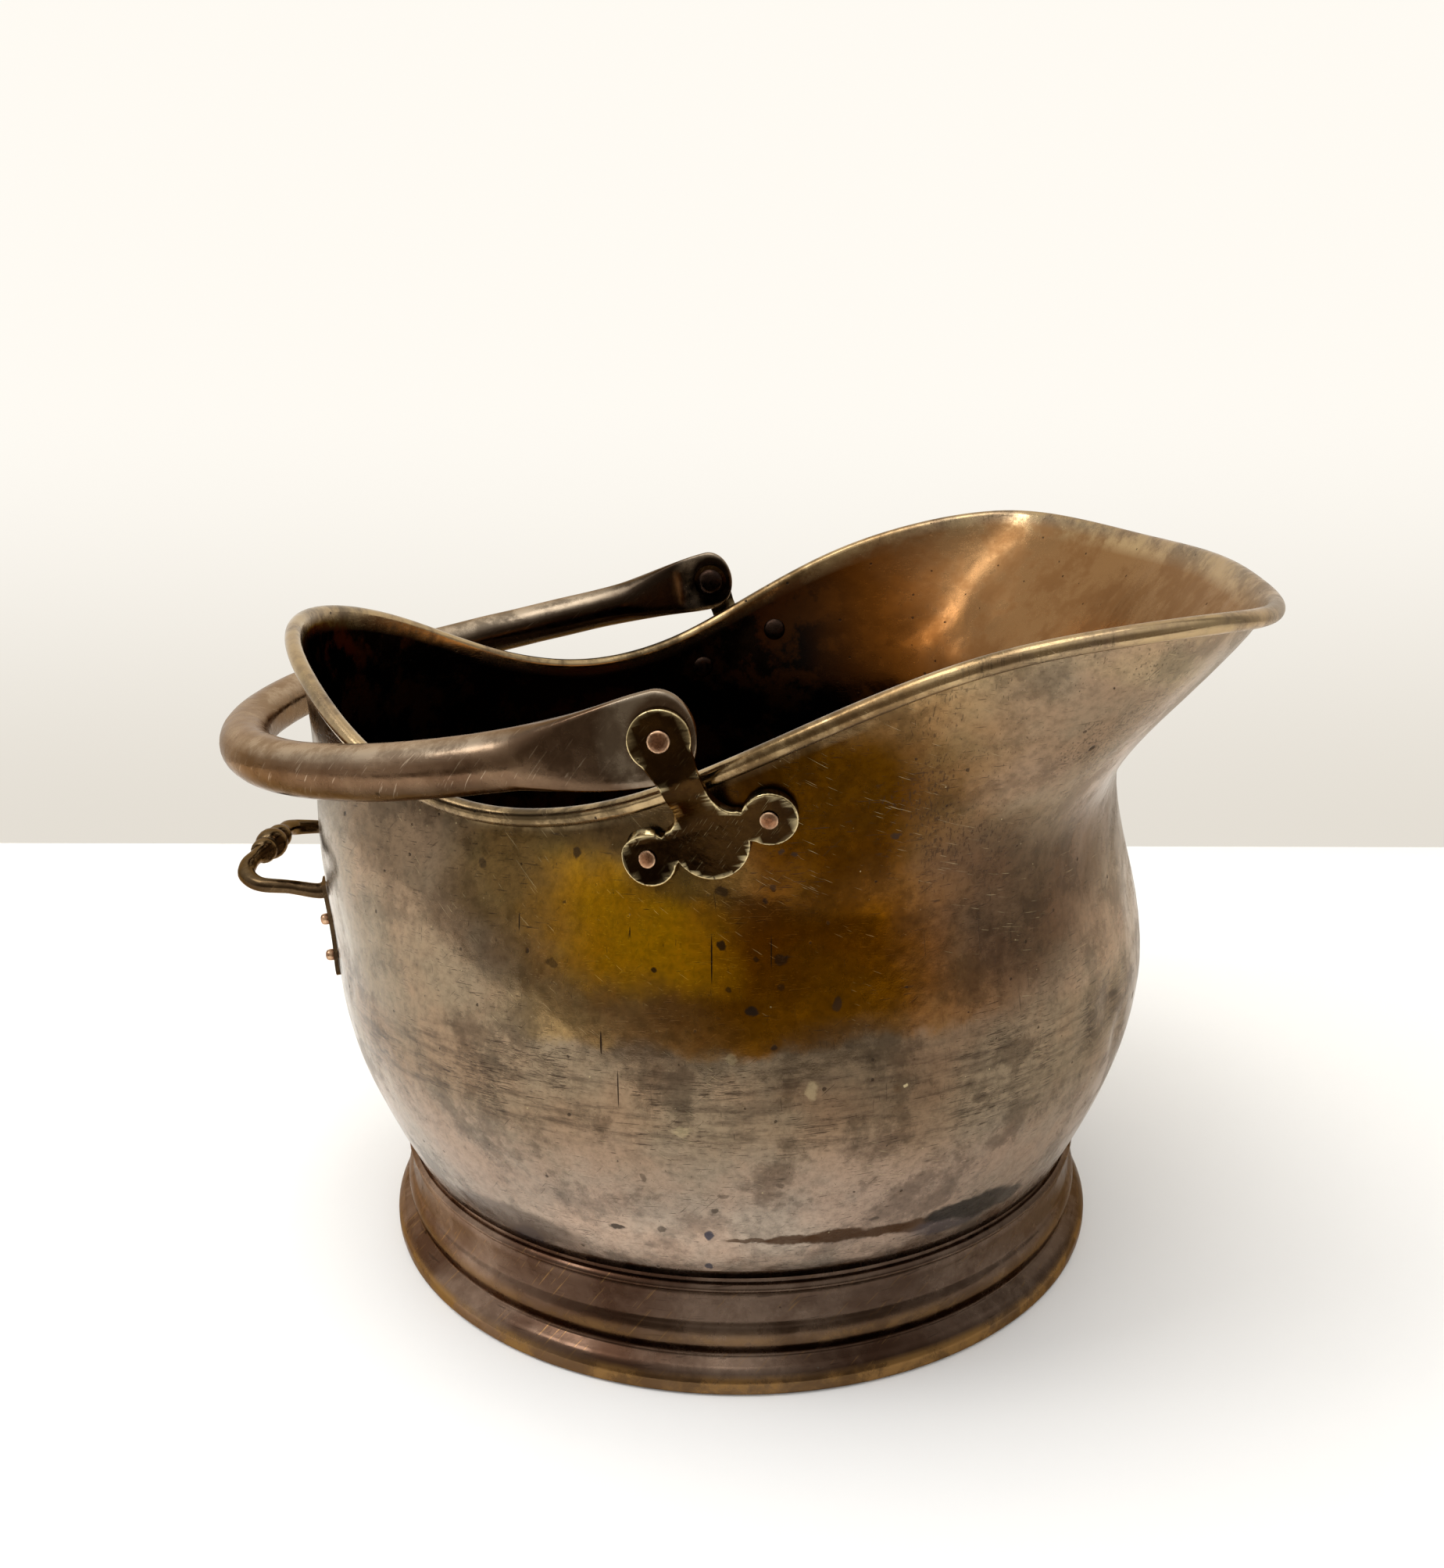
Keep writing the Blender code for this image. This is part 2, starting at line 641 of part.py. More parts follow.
def foot_profile():
    """Closed profile of the spun foot: outer face downward, hem, then inner face upward."""
    neck_bottom = FOOT_HEIGHT - FOOT_NECK_DEPTH
    roll_bottom = neck_bottom - ROLL_LENGTH
    cove_bottom = roll_bottom - COVE_LENGTH
    torus_bottom = cove_bottom - TORUS_LENGTH
    groove_bottom = torus_bottom - GROOVE_WIDTH
    hem_inner = FOOT_RADIUS - HEM_WIDTH
    outside = [(FOOT_FLANGE_RADIUS, FOOT_HEIGHT), (FOOT_NECK_RADIUS, FOOT_HEIGHT)]
    outside.append((FOOT_NECK_RADIUS, neck_bottom))
    outside += bulge(neck_bottom, roll_bottom, FOOT_NECK_RADIUS + SHEET / 2, ROLL_SWELL, 3)
    outside += bulge(roll_bottom, cove_bottom, COVE_RADIUS, -COVE_DEPTH, 2)[1:]
    outside += bulge(cove_bottom, torus_bottom, GROOVE_RADIUS, TORUS_SWELL, 4)[1:]
    outside.append((GROOVE_RADIUS, groove_bottom))
    flare_radius = between(GROOVE_RADIUS, FOOT_RADIUS, FLARE_RADIUS_SHARE)
    outside.append((flare_radius, between(groove_bottom, HEM_HEIGHT, FLARE_DROP_SHARE)))
    hem = [
        (FOOT_RADIUS - HEM_ROUND / 2, HEM_HEIGHT),
        (FOOT_RADIUS, HEM_HEIGHT - HEM_ROUND),
        (FOOT_RADIUS, HEM_ROUND),
        (FOOT_RADIUS - HEM_ROUND, 0),
        (hem_inner + HEM_ROUND / 2, 0),
        (hem_inner, HEM_ROUND),
        (hem_inner, HEM_HEIGHT - HEM_ROUND),
    ]
    inner_wall = GROOVE_RADIUS - SHEET
    inside = [(inner_wall, groove_bottom)]
    inside += bulge(torus_bottom, cove_bottom, inner_wall, TORUS_SWELL, 2)
    inside.append((COVE_RADIUS - COVE_DEPTH - SHEET, roll_bottom))
    inside.append((FOOT_NECK_RADIUS - SHEET, FOOT_HEIGHT - SHEET))
    inside.append((FOOT_FLANGE_RADIUS, FOOT_HEIGHT - SHEET))
    return outside + hem + inside


def build_foot(collection, material):
    return turned("foot_ring", foot_profile(), FOOT_FACETS, collection, material, closed=True)


def build_plate(collection, material):
    """Disc on the foot's flange, its edge turned up inside the wall."""
    floor = BODY_BOTTOM + SHEET
    lip = BODY_BOTTOM + PLATE_RISE
    fit = SHEET / 2 + CLEARANCE

    def inside_wall(height):
        return wall_radius(pi / 2, height) - fit

    profile = [
        (0, floor),
        (inside_wall(floor) - SHEET, floor),
        (inside_wall(lip) - SHEET, lip),
        (inside_wall(lip), lip),
        (inside_wall(BODY_BOTTOM), BODY_BOTTOM),
        (0, BODY_BOTTOM),
    ]
    return turned("bottom_plate", profile, PLATE_FACETS, collection, material)


def bail_section(reach):
    """Half thickness, half height and roundness power of the tube at a reach from the pivot."""
    share = ease((reach - PADDLE_LENGTH) / FLATTENING_LENGTH)
    half_thickness = between(PADDLE_THICKNESS / 2, BAIL_RADIUS, share)
    half_height = between(BAIL_RADIUS, PADDLE_HEIGHT / 2, exp(-(reach / PADDLE_TAPER) ** 2))
    power = between(PADDLE_POWER, ROUND_POWER, share)
    return half_thickness, half_height, power


def bail_ring(centre, sideways, half_thickness, half_height, power):
    """Ring of points: a circle on the tube, a flat oval on the paddle."""
    upward = Vector((-sin(BAIL_DROOP), 0, cos(BAIL_DROOP)))
    ring = []
    for angle in around(BAIL_SIDES):
        across = abs(cos(angle)) ** (2 / power) * (1 if cos(angle) > 0 else -1)
        rise = abs(sin(angle)) ** (2 / power) * (1 if sin(angle) > 0 else -1)
        ring.append(centre + sideways * across * half_thickness + upward * rise * half_height)
    return ring


def bail_centre(angle):
    """Middle of the tube from the pivot line, at an angle from the middle of the loop."""
    share = cos(angle) ** (2 / BAIL_ROUND_POWER)
    side = 1 if angle > 0 else -1
    reach = BAIL_REACH * share
    arc_width = BAIL_HALF_WIDTH * abs(sin(angle)) ** (2 / BAIL_ROUND_POWER)
    spread_share = 1 - ease((reach - PADDLE_LENGTH) / FLATTENING_LENGTH)
    width = arc_width + (PADDLE_OFFSET - BAIL_HALF_WIDTH) * spread_share
    drop = reach * sin(BAIL_DROOP) + 4 * BAIL_SAG * share * (1 - share)
    return Vector((-reach * cos(BAIL_DROOP), side * width, -drop))


def bail_angles():
    """Angles of the loop's rings, close together where the tube is flattened."""
    half = []
    for step in range(FLATTENING_STEPS + 1):
        reach = PADDLE_LENGTH + FLATTENING_LENGTH * step / FLATTENING_STEPS
        half.append(acos((reach / BAIL_REACH) ** (BAIL_ROUND_POWER / 2)))
    bend = half[-1]
    half += [bend * (1 - step / LOOP_STEPS) for step in range(1, LOOP_STEPS)]
    return half + [0] + [-angle for angle in reversed(half)]


def paddle_end(side):
    """Rings of the paddle from the pivot over its round end."""
    forward = Vector((cos(BAIL_DROOP), 0, sin(BAIL_DROOP)))
    thickness, height, power = bail_section(0)
    rings = []
    for step in range(PADDLE_END_STEPS + 1):
        angle = PADDLE_END_SPAN * step / PADDLE_END_STEPS
        centre = Vector((0, side * PADDLE_OFFSET, 0)) + forward * PADDLE_OVERHANG * sin(angle)
        rings.append(bail_ring(centre, Vector((0, side, 0)), thickness, height * cos(angle), power))
    return rings


def build_bail(collection, material, drills):
    """Loft from one paddle along the loop to the other, with its origin on the pivot."""
    upward = Vector((-sin(BAIL_DROOP), 0, cos(BAIL_DROOP)))
    nudge = NUDGE_SHARE * pi / (2 * LOOP_STEPS)
    rings = []
    for angle in bail_angles():
        centre = bail_centre(angle)
        along = bail_centre(angle - nudge) - bail_centre(angle + nudge)
        outward = along.cross(upward).normalized()
        rings.append(bail_ring(centre, outward, *bail_section(-centre.x / cos(BAIL_DROOP))))
    rings = paddle_end(1)[::-1] + rings + paddle_end(-1)
    bail = place("bail_handle", loft_mesh("bail_handle", rings), collection, material)
    bail.location = (PIVOT_X, 0, PIVOT_HEIGHT)
    combine(bail, drills, "DIFFERENCE")
    return bail


def lug_point(along, up):
    """World X and Z of a point in the lug's own axes."""
    x = LUG_X + along * cos(LUG_TILT) - up * sin(LUG_TILT)
    height = LUG_HEIGHT + along * sin(LUG_TILT) + up * cos(LUG_TILT)
    return x, height


def pivot_in_lug():
    """The pivot in the lug's own axes."""
    x, height = PIVOT_X - LUG_X, PIVOT_HEIGHT - LUG_HEIGHT
    along = x * cos(LUG_TILT) + height * sin(LUG_TILT)
    up = height * cos(LUG_TILT) - x * sin(LUG_TILT)
    return along, up


def arc(centre, radius, start, end, steps):
    """Points on an arc, both ends included."""
    points = []
    for step in range(steps + 1):
        angle = between(start, end, step / steps)
        points.append((centre[0] + radius * cos(angle), centre[1] + radius * sin(angle)))
    return points


def lug_half(offset, rise):
    """One side of the lug's outline up to the ear, round a lobe at an offset and a rise."""
    lower = atan2(LUG_LOWER_NOTCH - rise, LUG_NOTCH_OFFSET - offset)
    upper = atan2(LUG_UPPER_NOTCH - rise, LUG_NOTCH_OFFSET - offset)
    bottom = atan2(LUG_LOWER_NOTCH, LUG_NOTCH_OFFSET)
    half = arc((0, 0), LUG_CENTRE_RADIUS, -pi / 2, bottom, LUG_ARC_STEPS)
    half += arc((offset, rise), LUG_LOBE_RADIUS, lower, upper, LUG_LOBE_STEPS)
    half.append((LUG_NOTCH_OFFSET, LUG_UPPER_NOTCH))
    for step in range(1, LUG_ARC_STEPS + 1):
        sweep = pi / 2 * step / LUG_ARC_STEPS
        along = between(LUG_NOTCH_OFFSET, LUG_NECK_HALF_WIDTH, sin(sweep))
        up = between(LUG_NECK_BOTTOM, LUG_UPPER_NOTCH, cos(sweep))
        half.append((along, up))
    half.append((LUG_NECK_HALF_WIDTH, LUG_NECK_TOP))
    return half


def lug_outline():
    """Outline of the lug in its own axes, anticlockwise from the bottom."""
    front = lug_half(FRONT_LOBE_OFFSET, FRONT_LOBE_RISE)
    rear = lug_half(REAR_LOBE_OFFSET, REAR_LOBE_RISE)
    ear = pivot_in_lug()
    right = arc(ear, LUG_EAR_RADIUS, LUG_EAR_START, pi / 2, LUG_EAR_STEPS)
    left = arc(ear, LUG_EAR_RADIUS, pi / 2, pi - LUG_EAR_START, LUG_EAR_STEPS)[1:]
    mirrored = [(-along, up) for along, up in rear[1:]]
    return front + right + left + mirrored[::-1]


def lug_reach(x, height):
    """Distance in Y from the middle plane to the middle of the lug's plate."""
    up = (height - LUG_HEIGHT) * cos(LUG_TILT) - (x - LUG_X) * sin(LUG_TILT)
    slope_x, slope_z = slopes(side_reach, x, height)
    lift = SHEET / 2 + CLEARANCE + FACET_ROOM + LUG_THICKNESS / 2
    on_wall = side_reach(x, height) + lift * sqrt(1 + slope_x ** 2 + slope_z ** 2)
    at_ear = EAR_INNER_FACE + LUG_THICKNESS / 2
    return between(on_wall, at_ear, ease((up - LUG_BEND_BOTTOM) / (LUG_BEND_TOP - LUG_BEND_BOTTOM)))


def lug_surface(along, up, side):
    """Point on the middle of the lug's plate, and its outward direction."""
    x, height = lug_point(along, up)
    slope_x, slope_z = slopes(lug_reach, x, height)
    direction = Vector((-slope_x, side, -slope_z)).normalized()
    return Vector((x, side * lug_reach(x, height), height)), direction


def build_lug(name, side, collection, material, cutters, drills, pivot_drill):
    """Plate bent to the wall and out to the ear, trimmed to the lug's outline."""
    blank_half_width = REAR_LOBE_OFFSET + LUG_LOBE_RADIUS + CUT_OVERRUN
    blank_bottom = -LUG_CENTRE_RADIUS - CUT_OVERRUN
    blank_top = pivot_in_lug()[1] + LUG_EAR_RADIUS + CUT_OVERRUN
    rows = []
    for level in range(LUG_LEVELS + 1):
        up = between(blank_bottom, blank_top, (level / LUG_LEVELS) ** LUG_LEVEL_POWER)
        row = []
        for column in range(LUG_COLUMNS + 1):
            along = between(-blank_half_width, blank_half_width, column / LUG_COLUMNS)
            x, height = lug_point(along, up)
            row.append((x, side * lug_reach(x, height), height))
        rows.append(row if side > 0 else row[::-1])
    lug = place(name, surface_mesh(name, rows, False), collection, material)
    solidify(lug, LUG_THICKNESS)

    curve = bpy.data.curves.new(name + "_outline", "CURVE")
    curve.dimensions = "2D"
    curve.fill_mode = "BOTH"
    curve.extrude = TRIM_HALF_DEPTH
    outline = [lug_point(along, up) for along, up in lug_outline()]
    spline = curve.splines.new("POLY")
    spline.points.add(len(outline) - 1)
    spline.use_cyclic_u = True
    for node, (x, height) in zip(spline.points, outline):
        node.co = (x, height, 0, 1)
    trim = place(name + "_outline", curve, cutters)
    trim.location = (0, side * EAR_INNER_FACE, 0)
    trim.rotation_euler = (pi / 2, 0, 0)
    bpy.context.view_layer.update()
    trim = as_mesh(trim, cutters)
    mark_as_cutter(trim)
    combine(lug, trim, "INTERSECT")
    combine(lug, drills, "DIFFERENCE")
    combine(lug, pivot_drill, "DIFFERENCE")
    return lug


def rivet_profile(shank, head, head_height, boss, boss_height, grip):
    """Profile about Z: a head above zero, the shank, and a broad domed head below the grip."""
    crown_share = (1 + RIVET_DOME_SHARE) / 2
    return [
        (0, head_height),
        (head * RIVET_DOME_SHARE, head_height * crown_share),
        (head, head_height * RIVET_DOME_SHARE),
        (head, 0),
        (shank, 0),
        (shank, -grip),
        (boss, -grip),
        (boss * RIVET_DOME_SHARE, -grip - boss_height * crown_share),
        (0, -grip - boss_height),
    ]


def lug_rivet_places():
    """Middle of the lug's plate and outward direction at each of its rivets."""
    places = []
    for side in SIDES.values():
        places.append(lug_surface(FRONT_LOBE_OFFSET, FRONT_LOBE_RISE, side))
        places.append(lug_surface(-REAR_LOBE_OFFSET, REAR_LOBE_RISE, side))
    return places


def strap_frame(side, height, across=0):
    """Middle of the strap's plate and outward direction, at a height and a way across it."""
    lift = SHEET / 2 + CLEARANCE + FACET_ROOM + STRAP_THICKNESS / 2
    turn = STRAP_TURN + across / (wall_radius(STRAP_TURN, height) + lift)
    radius = wall_radius(turn, height) + lift
    lower, upper = wall_radius(turn, height - SHEET), wall_radius(turn, height + SHEET)
    slope = (upper - lower) / (2 * SHEET)
    direction = Vector((cos(turn), side * sin(turn), -slope)).normalized()
    return Vector((radius * cos(turn), side * radius * sin(turn), height)), direction


def strap_rivet_places():
    places = []
    for side in SIDES.values():
        for drop in (STRAP_RIVET_DROP, STRAP_RIVET_DROP + STRAP_RIVET_SPACING):
            places.append(strap_frame(side, HANDLE_ROOT_HEIGHT - drop))
    return places


def build_drills(cutters):
    """Cutters for every rivet hole: through the wall with its lug or strap, and at the pivots."""
    length = DRILL_LENGTH
    bars = []
    for centre, direction in lug_rivet_places():
        bars.append((centre, direction, LUG_RIVET_SHANK + CLEARANCE, length, RIVET_FACETS))
    for centre, direction in strap_rivet_places():
        bars.append((centre, direction, STRAP_RIVET_SHANK + CLEARANCE, length, RIVET_FACETS))
    wall_drills = place("rivet_drills", drill_mesh("rivet_drills", bars), cutters)
    mark_as_cutter(wall_drills)
    bars = []
    for side in SIDES.values():
        centre = (PIVOT_X, side * EAR_INNER_FACE, PIVOT_HEIGHT)
        bars.append((centre, (0, side, 0), PIVOT_SHANK_RADIUS + CLEARANCE, length, PIVOT_FACETS))
    pivot_drills = place("pivot_drills", drill_mesh("pivot_drills", bars), cutters)
    mark_as_cutter(pivot_drills)
    return wall_drills, pivot_drills


def build_rivets(collection, material):
    """Rivets of the lugs and of the rear handle, each seated on its plate."""
    grip = LUG_THICKNESS + 2 * CLEARANCE + FACET_ROOM + SHEET + INNER_HEAD_SEAT
    sizes = (LUG_RIVET_SHANK, LUG_RIVET_HEAD, LUG_RIVET_HEAD_HEIGHT)
    profile = rivet_profile(*sizes, LUG_RIVET_BOSS, LUG_RIVET_BOSS_HEIGHT, grip)
    for number, (centre, direction) in enumerate(lug_rivet_places(), start=1):
        rivet = turned("lug_rivet_%d" % number, profile, RIVET_FACETS, collection, material)
        aim(rivet, centre + direction * (LUG_THICKNESS / 2 + CLEARANCE), direction)

    grip = STRAP_THICKNESS + 2 * CLEARANCE + FACET_ROOM + SHEET + INNER_HEAD_SEAT
    sizes = (STRAP_RIVET_SHANK, STRAP_RIVET_HEAD, STRAP_RIVET_HEAD_HEIGHT)
    profile = rivet_profile(*sizes, STRAP_RIVET_BOSS, STRAP_RIVET_BOSS_HEIGHT, grip)
    for number, (centre, direction) in enumerate(strap_rivet_places(), start=1):
        rivet = turned("rear_handle_rivet_%d" % number, profile, RIVET_FACETS, collection, material)
        aim(rivet, centre + direction * (STRAP_THICKNESS / 2 + CLEARANCE), direction)


def build_pivots(collection, rivet_material, washer_material):
    """A rivet through each ear and paddle, clenched over a washer on the inner side."""
    grip = EAR_OUTER_FACE - WASHER_INNER_FACE + 2 * CLEARANCE
    sizes = (PIVOT_SHANK_RADIUS, PIVOT_HEAD_RADIUS, PIVOT_HEAD_HEIGHT)
    profile = rivet_profile(*sizes, PIVOT_BOSS_RADIUS, PIVOT_BOSS_HEIGHT, grip)
    bore = PIVOT_SHANK_RADIUS + CLEARANCE
    ring = [(bore, WASHER_THICKNESS), (WASHER_RADIUS, WASHER_THICKNESS), (WASHER_RADIUS, 0), (bore, 0)]
    for name, side in SIDES.items():
        outward = (0, side, 0)
        rivet = turned("pivot_rivet_" + name, profile, PIVOT_FACETS, collection, rivet_material)
        aim(rivet, (PIVOT_X, side * (EAR_OUTER_FACE + CLEARANCE), PIVOT_HEIGHT), outward)
        washer = turned(
            "pivot_washer_" + name, ring, PIVOT_FACETS, collection, washer_material, closed=True
        )
        aim(washer, (PIVOT_X, side * WASHER_INNER_FACE, PIVOT_HEIGHT), outward)


def build_strap(name, side, cutters):
    """Leaf that lies on the wall, rounded at the bottom, to be joined to the bar."""
    rows = []
    for step in range(STRAP_STEPS + 1):
        rise = (STRAP_TOP - STRAP_BOTTOM) * (step / STRAP_STEPS) ** STRAP_END_POWER
        below = max(0, STRAP_HALF_WIDTH - rise)
        half_width = sqrt(STRAP_HALF_WIDTH ** 2 - below ** 2) + SHEET / 2
        half_width = min(half_width, STRAP_HALF_WIDTH)
        row = []
        for across in STRAP_ACROSS_SHARES:
            row.append(strap_frame(side, STRAP_BOTTOM + rise, across * half_width)[0])
        rows.append(row if side < 0 else row[::-1])
    strap = place(name, surface_mesh(name, rows, False), cutters)
    solidify(strap, STRAP_THICKNESS)
    mark_as_cutter(strap)
    return strap


def bar_way(side):
    """Points and radii of the bar from one strap to the knop's end bead."""
    root, direction = strap_frame(side, HANDLE_ROOT_HEIGHT)
    stub = root + direction * HANDLE_STUB
    controls = [root, stub]
    radii = [HANDLE_ROOT_RADIUS, between(HANDLE_ROOT_RADIUS, HANDLE_ARM_RADIUS, HANDLE_STUB_SHARE)]
    for (out, span, rise), swell in zip(HANDLE_WAY_SHARES, HANDLE_SWELL_SHARES):
        y = side * HANDLE_HALF_SPAN * span
        controls.append(Vector((root.x - HANDLE_OUTREACH * out, y, root.z + HANDLE_RISE * rise)))
        radii.append(between(HANDLE_ARM_RADIUS, HANDLE_CORNER_RADIUS, swell))
    points = [root]
    sizes = [HANDLE_ROOT_RADIUS]
    for i in range(1, len(controls) - 1):
        start, end = controls[i], controls[i + 1]
        before = controls[i - 1]
        after = controls[min(i + 2, len(controls) - 1)]
        for share in (0, 0.5):
            point = hermite(start, end, (end - before) / 2, (after - start) / 2, share)
            points.append(point)
            sizes.append(between(radii[i], radii[i + 1], share))
    return points, sizes


def knop_radius(y):
    """Radius of the knop: a large bead between two small ones."""
    way = abs(y)
    if way <= KNOP_HALF_LENGTH:
        swell, share = KNOP_RADIUS, way / KNOP_HALF_LENGTH
    else:
        middle = KNOP_HALF_LENGTH + KNOP_BEAD_HALF_LENGTH
        swell, share = KNOP_BEAD_RADIUS, abs(way - middle) / KNOP_BEAD_HALF_LENGTH
    return between(KNOP_NECK_RADIUS, swell, sqrt(max(0, 1 - share * share)))


def build_rear_handle(collection, material, cutters, drills):
    """Bar with its knop, joined to both straps and drilled for their rivets."""
    left_points, left_sizes = bar_way(1)
    right_points, right_sizes = bar_way(-1)
    root = strap_frame(1, HANDLE_ROOT_HEIGHT)[0]
    knop = Vector((root.x - HANDLE_OUTREACH * KNOP_BACK_SHARE, 0, root.z + HANDLE_RISE))
    end = KNOP_HALF_LENGTH + 2 * KNOP_BEAD_HALF_LENGTH
    ways = [end - KNOP_BEAD_HALF_LENGTH * share for share in (0, KNOP_BEAD_STEP_SHARE, 1)]
    ways += [KNOP_HALF_LENGTH * share for share in KNOP_STEP_SHARES]
    stations = ways + [0] + [-way for way in reversed(ways)]
    knop_points = [knop + Vector((0, y, 0)) for y in stations]
    knop_sizes = [knop_radius(y) for y in stations]
    points = left_points + knop_points + right_points[::-1]
    sizes = left_sizes + knop_sizes + right_sizes[::-1]
    bar = as_mesh(tube("rear_handle", points, sizes, collection, resolution=2), collection)
    bar.data.materials.append(material)
    bar.data.shade_smooth()
    bar.data.set_sharp_from_angle(angle=SMOOTH_ANGLE)
    for name, side in SIDES.items():
        combine(bar, build_strap("strap_" + name, side, cutters), "UNION")
    combine(bar, drills, "DIFFERENCE")
    return bar


def build_scuttle():
    clear_scene()
    parts = make_collection("helmet_coal_scuttle")
    cutters = make_collection("cutters")
    patina = make_material("copper_patina", (0.17, 0.105, 0.06), 0.38, 1.0)
    foot_copper = make_material("foot_copper", (0.20, 0.12, 0.07), 0.42, 1.0)
    dark_brass = make_material("dark_brass", (0.12, 0.09, 0.06), 0.36, 1.0)
    rivet_copper = make_material("rivet_copper", (0.42, 0.20, 0.13), 0.40, 1.0)

    drills, pivot_drills = build_drills(cutters)
    build_body(parts, patina, drills)
    build_wire(parts, patina)
    build_foot(parts, foot_copper)
    build_plate(parts, patina)
    build_bail(parts, dark_brass, pivot_drills)
    for name, side in SIDES.items():
        build_lug("bail_lug_" + name, side, parts, dark_brass, cutters, drills, pivot_drills)
    build_rivets(parts, rivet_copper)
    build_pivots(parts, rivet_copper, dark_brass)
    build_rear_handle(parts, dark_brass, cutters, drills)
    for item in list(parts.objects) + list(cutters.objects):
        item.location.x += FOOT_AXIS_X


build_scuttle()
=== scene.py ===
import json
import bpy
import bmesh
import numpy as np
from math import acos, asin, atan2, cos, exp, hypot, pi, radians, sin, sqrt, tan
from mathutils import Matrix, Vector, noise

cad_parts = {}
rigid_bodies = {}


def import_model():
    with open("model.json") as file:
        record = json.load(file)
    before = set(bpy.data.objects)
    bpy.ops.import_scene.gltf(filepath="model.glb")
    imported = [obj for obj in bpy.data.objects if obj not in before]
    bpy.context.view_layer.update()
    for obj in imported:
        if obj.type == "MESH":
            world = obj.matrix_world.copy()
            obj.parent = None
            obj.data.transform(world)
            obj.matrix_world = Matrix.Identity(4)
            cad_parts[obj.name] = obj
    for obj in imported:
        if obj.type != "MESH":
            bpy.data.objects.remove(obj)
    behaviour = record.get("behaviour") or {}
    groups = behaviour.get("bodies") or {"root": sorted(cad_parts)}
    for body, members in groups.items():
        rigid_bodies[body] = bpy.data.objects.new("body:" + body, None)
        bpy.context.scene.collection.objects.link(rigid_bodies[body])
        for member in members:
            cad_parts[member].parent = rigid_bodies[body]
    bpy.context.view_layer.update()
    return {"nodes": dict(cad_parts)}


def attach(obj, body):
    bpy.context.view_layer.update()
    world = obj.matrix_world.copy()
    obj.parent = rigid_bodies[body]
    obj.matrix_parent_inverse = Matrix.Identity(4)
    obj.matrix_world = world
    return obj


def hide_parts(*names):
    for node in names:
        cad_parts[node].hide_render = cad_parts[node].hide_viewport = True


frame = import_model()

footAxisX = 0.0038
sheet = 0.0010
gap = 0.0003
weld = 0.00001
sides = {"left": 1, "right": -1}

scene = bpy.context.scene
scene.view_settings.view_transform = "Standard"
pieces = bpy.data.collections.new("scuttlePieces")
scene.collection.children.link(pieces)
for nodeObject in frame["nodes"].values():
    nodeObject.data.shade_smooth()
print("frame loaded:", len(frame["nodes"]), "nodes")


def mixValue(start, end, share):
    return start + (end - start) * share


def ease(share):
    share = min(1, max(0, share))
    return share * share * (3 - 2 * share)


def cubicBetween(start, end, startSlope, endSlope, share):
    rest = 1 - share
    ends = start * rest * rest * (1 + 2 * share) + end * share * share * (3 - 2 * share)
    return ends + startSlope * share * rest * rest - endSlope * share * share * rest


def newObject(name, data, material=None):
    item = bpy.data.objects.new(name, data)
    pieces.objects.link(item)
    if material:
        data.materials.append(material)
    return item


def meshFrom(name, work):
    mesh = bpy.data.meshes.new(name)
    work.to_mesh(mesh)
    work.free()
    return mesh


def smoothTo(mesh, degrees):
    mesh.shade_smooth()
    mesh.set_sharp_from_angle(angle=radians(degrees))


# an object's mesh goes into the bmesh, and the object goes away
def takeIn(work, item):
    work.from_mesh(item.data)
    bpy.data.objects.remove(item, do_unlink=True)


# rows of points joined by quads: closed joins the rows, ring joins each row's ends
def gridMesh(name, rows, closed=False, ring=False, caps=False):
    work = bmesh.new()
    grid = [[work.verts.new(point) for point in row] for row in rows]
    pairs = list(zip(grid, grid[1:]))
    if closed:
        pairs.append((grid[-1], grid[0]))
    for row, following in pairs:
        count = len(row) if ring else len(row) - 1
        for i in range(count):
            j = (i + 1) % len(row)
            work.faces.new((row[i], following[i], following[j], row[j]))
    if caps:
        work.faces.new(grid[0])
        work.faces.new(grid[-1])
    bmesh.ops.recalc_face_normals(work, faces=work.faces)
    mesh = meshFrom(name, work)
    mesh.shade_smooth()
    return mesh


# plain mesh object made from an object's evaluated shape, its place put into the mesh
def applied(item, name, material):
    bpy.context.view_layer.update()
    graph = bpy.context.evaluated_depsgraph_get()
    mesh = bpy.data.meshes.new_from_object(item.evaluated_get(graph))
    mesh.transform(item.matrix_world)
    bpy.data.objects.remove(item, do_unlink=True)
    mesh.name = name
    mesh.materials.clear()
    return newObject(name, mesh, material)


def ontoFoot(item):
    item.data.transform(Matrix.Translation((footAxisX, 0, 0)))


def setField(mesh, name, values):
    mesh.attributes.new(name, "FLOAT", "POINT").data.foreach_set("value", values)


# number on every point, from a function of its place and normal
def paint(item, name, valueAt):
    setField(item.data, name, [valueAt(vertex.co, vertex.normal) for vertex in item.data.vertices])


# profile of (radius, height) points turned about Z
def lathe(name, profile, steps, closed=False):
    work = bmesh.new()
    points = [work.verts.new((radius, 0, height)) for radius, height in profile]
    for upper, lower in zip(points, points[1:]):
        work.edges.new((upper, lower))
    if closed:
        work.edges.new((points[-1], points[0]))
    item = newObject(name, meshFrom(name, work))
    screw = item.modifiers.new("turn", "SCREW")
    screw.steps = screw.render_steps = steps
    screw.use_merge_vertices = True
    screw.merge_threshold = weld
    return item


